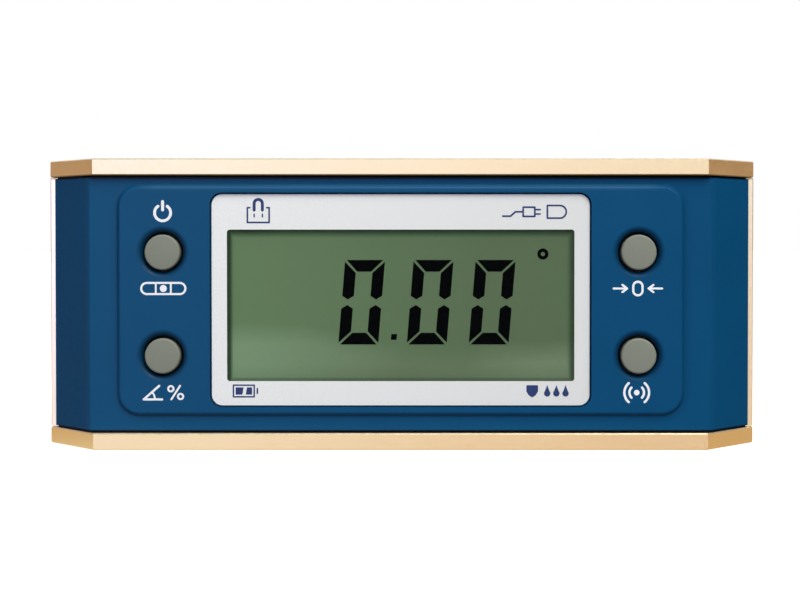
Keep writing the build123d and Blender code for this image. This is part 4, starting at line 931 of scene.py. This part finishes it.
def plug_sign():
    """Plug on the end of a lead, towards a socket."""
    left, right, half, line = -2.0, 0.4, 0.95, 0.36
    lead = bars([(-6.2, -0.9), (-4.6, -0.9), (-3.6, 0), (left, 0)], line)
    shell = bars([(left, half), (right, half), (right, -half), (left, -half)], line, closed=True)
    pin, tip, thin = 0.45, 1.5, 0.34
    pins = bar((right, pin), (tip, pin), thin) + bar((right, -pin), (tip, -pin), thin)
    mouth, bend, wide = 3.0, 5.6, 1.3
    cup = bars([(bend, wide), (mouth, wide), (mouth, -wide), (bend, -wide)], line)
    return lead + shell + pins + cup + arc((bend, 0), wide, line, -90, 90)


def battery_sign():
    """Battery whose charge is two blocks with a slanted gap between them."""
    left, right, half = -2.4, 1.9, 1.2
    case = bars([(left, half), (right, half), (right, -half), (left, -half)], 0.3, closed=True)
    tall = 0.75
    first = [(-1.95, -tall), (-0.55, -tall), (-0.3, tall), (-1.95, tall)]
    second = [(0.15, -tall), (1.45, -tall), (1.45, tall), (0.4, tall)]
    return case + bar((2.55, 0.5), (2.55, -0.5), 0.32) + [first, second]


def splash_sign():
    """Shield beside three drops of water."""
    left, middle, right, top, waist = -4.0, -2.8, -1.6, 1.2, -0.1
    shield = [
        (left, top), (right, top), (right, waist), (-2.1, -0.9),
        (middle, -1.35), (-3.5, -0.9), (left, waist),
    ]
    drop = [(-0.62, -0.35), (0.62, -0.35), (0.25, 0.55), (0, 1.25), (-0.25, 0.55)]
    belly = disc((0, -0.5), 0.66)
    outlines = [shield]
    for place in (0.3, 2.2, 4.1):
        outlines += moved([drop, belly], (place, 0))
    return outlines


# Each sign's drawing and its place from the middle of a key, in millimetres.
KEY_SIGNS = {
    "power_sign": (power_sign, "power_key", (0.1, 8.15)),
    "level_sign": (bubble_sign, "power_key", (0.2, -7.45)),
    "tilt_sign": (percent_sign, "tilt_key", (0.2, -7.55)),
    "zero_sign": (zero_sign, "zero_key", (-0.2, -7.45)),
    "sound_sign": (sound_sign, "sound_key", (-0.4, -7.55)),
}
# Each border sign's drawing and its place from the middle of the lens, in millimetres.
BORDER_SIGNS = {
    "magnet_sign": (magnet_sign, (-29.4, 18.45)),
    "charging_sign": (plug_sign, (27.3, 18.2)),
    "battery_sign": (battery_sign, (-32.2, -18.85)),
    "splash_sign": (splash_sign, (30.0, -18.85)),
}


def printed_signs():
    """White signs by the keys and dark blue ones on the white border behind the lens."""
    panel_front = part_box("front_housing")[0].y
    for name, (drawing, key, offset) in KEY_SIGNS.items():
        place = Vector(centre_of(key)) + Vector(offset)
        flat_piece(name, moved(drawing(), place), panel_front, PRINT_THICKNESS, SIGN_WHITE)
    mask_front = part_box("display_mask")[0].y
    for name, (drawing, offset) in BORDER_SIGNS.items():
        place = Vector(centre_of("display_lens")) + Vector(offset)
        flat_piece(name, moved(drawing(), place), mask_front, PRINT_THICKNESS, SIGN_NAVY)


def floor_finish():
    """Pale floor: white where it is looked at, dim grey in the light it throws back, warm as mirrored."""
    finish = Finish("floor_pale")
    away = finish.add("ShaderNodeVectorMath", operation="LENGTH")
    finish.put(away.inputs[0], finish.place)
    glow = finish.spread(away.outputs["Value"], FLOOR_GLOW_NEAR, FLOOR_GLOW_FAR, *FLOOR_GLOW)
    finish.set(
        base_color=finish.blend(finish.noise(FLOOR_MOTTLE), FLOOR_SEEN, FLOOR_SEEN_PALE),
        roughness=finish.spread(finish.noise(20.0), 0.8, 0.9),
        specular_ior_level=0.1,
        emission_color=(1, 1, 1, 1),
        emission_strength=glow,
    )
    thrown = finish.add("ShaderNodeBsdfDiffuse")
    mottle = finish.blend(finish.noise(FLOOR_MOTTLE), FLOOR_BOUNCE, FLOOR_BOUNCE_PALE)
    finish.put(thrown.inputs["Color"], mottle)
    mirrored = finish.add("ShaderNodeEmission")
    wander = finish.spread(finish.noise(FLOOR_MOTTLE), -FLOOR_PALE_WANDER, FLOOR_PALE_WANDER)
    wavy = finish.math("ADD", finish.along("X"), wander)
    pale = finish.within(wavy, FLOOR_PALE_START, FLOOR_PALE_END)
    finish.put(mirrored.inputs["Color"], finish.blend(pale, FLOOR_MIRRORED, FLOOR_MIRRORED_PALE))
    rays = finish.add("ShaderNodeLightPath")
    unseen = finish.add("ShaderNodeMixShader")
    finish.put(unseen.inputs[0], rays.outputs["Is Glossy Ray"])
    finish.put(unseen.inputs[1], thrown.outputs["BSDF"])
    finish.put(unseen.inputs[2], mirrored.outputs["Emission"])
    seen = finish.add("ShaderNodeMixShader")
    finish.put(seen.inputs[0], rays.outputs["Is Camera Ray"])
    finish.put(seen.inputs[1], unseen.outputs["Shader"])
    finish.put(seen.inputs[2], finish.shader.outputs["BSDF"])
    finish.put(finish.output.inputs["Surface"], seen.outputs["Shader"])
    return finish.material


def studio_floor():
    """Wide floor that the level stands on."""
    mesh = bmesh.new()
    bmesh.ops.create_circle(mesh, cap_ends=True, segments=FLOOR_SEGMENTS, radius=FLOOR_RADIUS)
    floor = scene_object("floor", mesh, floor_finish())
    floor.location.z = -FLOOR_DROP


def studio_world():
    """Soft room: a bright screen ahead, brighter to the left, warm dim sides and a pale ceiling."""
    world = bpy.data.worlds.new("studio")
    world.use_nodes = True
    bpy.context.scene.world = world
    tree = world.node_tree
    nodes, links = tree.nodes, tree.links
    way = nodes.new("ShaderNodeSeparateXYZ")
    links.new(nodes.new("ShaderNodeTexCoord").outputs["Generated"], way.inputs["Vector"])

    def step(axis, start, end):
        """Rises smoothly from 0 to 1 along an axis of the direction."""
        node = nodes.new("ShaderNodeMapRange")
        node.interpolation_type = "SMOOTHSTEP"
        links.new(way.outputs[axis], node.inputs["Value"])
        node.inputs["From Min"].default_value = start
        node.inputs["From Max"].default_value = end
        return node.outputs["Result"]

    def tint(factor, first, second):
        """Mixes two lights, each a colour or another mix."""
        node = nodes.new("ShaderNodeMix")
        node.data_type = "RGBA"
        links.new(factor, node.inputs["Factor"])
        for socket, value in ((node.inputs["A"], first), (node.inputs["B"], second)):
            if isinstance(value, bpy.types.NodeSocket):
                links.new(value, socket)
            else:
                socket.default_value = value
        return node.outputs["Result"]

    sides = tint(step("X", *SIDES_STEP), ROOM_LEFT, ROOM_RIGHT)
    screen = tint(step("X", *SCREEN_STEP), ROOM_FRONT_LEFT, ROOM_FRONT_RIGHT)
    behind = tint(step("Y", *BACK_STEP), sides, ROOM_BACK)
    around = tint(step("Y", *FRONT_STEP), behind, screen)
    room = tint(step("Z", *CEILING_STEP), around, ROOM_CEILING)
    light = nodes["Background"]
    links.new(room, light.inputs["Color"])
    seen = nodes.new("ShaderNodeBackground")
    seen.inputs["Color"].default_value = (1, 1, 1, 1)
    mix = nodes.new("ShaderNodeMixShader")
    links.new(nodes.new("ShaderNodeLightPath").outputs["Is Camera Ray"], mix.inputs[0])
    links.new(light.outputs["Background"], mix.inputs[1])
    links.new(seen.outputs["Background"], mix.inputs[2])
    links.new(mix.outputs["Shader"], nodes["World Output"].inputs["Surface"])


def softbox():
    """A square softbox that points at the level."""
    light = bpy.data.lights.new("key_light", "AREA")
    light.shape = "SQUARE"
    light.size = SOFTBOX_SIZE
    light.energy = SOFTBOX_POWER
    light.color = SOFTBOX_TINT
    lamp = bpy.data.objects.new("key_light", light)
    lamp.location = SOFTBOX_PLACE
    aim = Vector(SOFTBOX_AIM) - Vector(SOFTBOX_PLACE)
    lamp.rotation_euler = aim.to_track_quat("-Z", "Y").to_euler()
    bpy.context.scene.collection.objects.link(lamp)


def photo_camera():
    """Camera at the photograph's place, with the shift that its framing needs."""
    data = bpy.data.cameras.new("camera")
    data.sensor_width = SENSOR_WIDTH
    data.lens = FOCAL_PIXELS / IMAGE_WIDTH * SENSOR_WIDTH
    data.shift_x = (IMAGE_WIDTH / 2 - AXIS_X_PIXEL) / IMAGE_WIDTH
    data.shift_y = (AXIS_Y_PIXEL - IMAGE_HEIGHT / 2) / IMAGE_WIDTH
    data.clip_start = CAMERA_NEAR * MM
    camera = bpy.data.objects.new("camera", data)
    front = cad_box[0].y - CAMERA_DISTANCE * MM
    camera.location = (CAMERA_SIDE * MM, front, CAMERA_HEIGHT * MM)
    camera.rotation_euler = (math.radians(90 - CAMERA_PITCH), 0, 0)
    bpy.context.scene.collection.objects.link(camera)
    bpy.context.scene.camera = camera


dress_nodes()
for key in KEYS:
    key_skirt(key)
display_figures()
printed_signs()
studio_floor()
studio_world()
softbox()
photo_camera()
bpy.context.scene.view_settings.view_transform = "Standard"
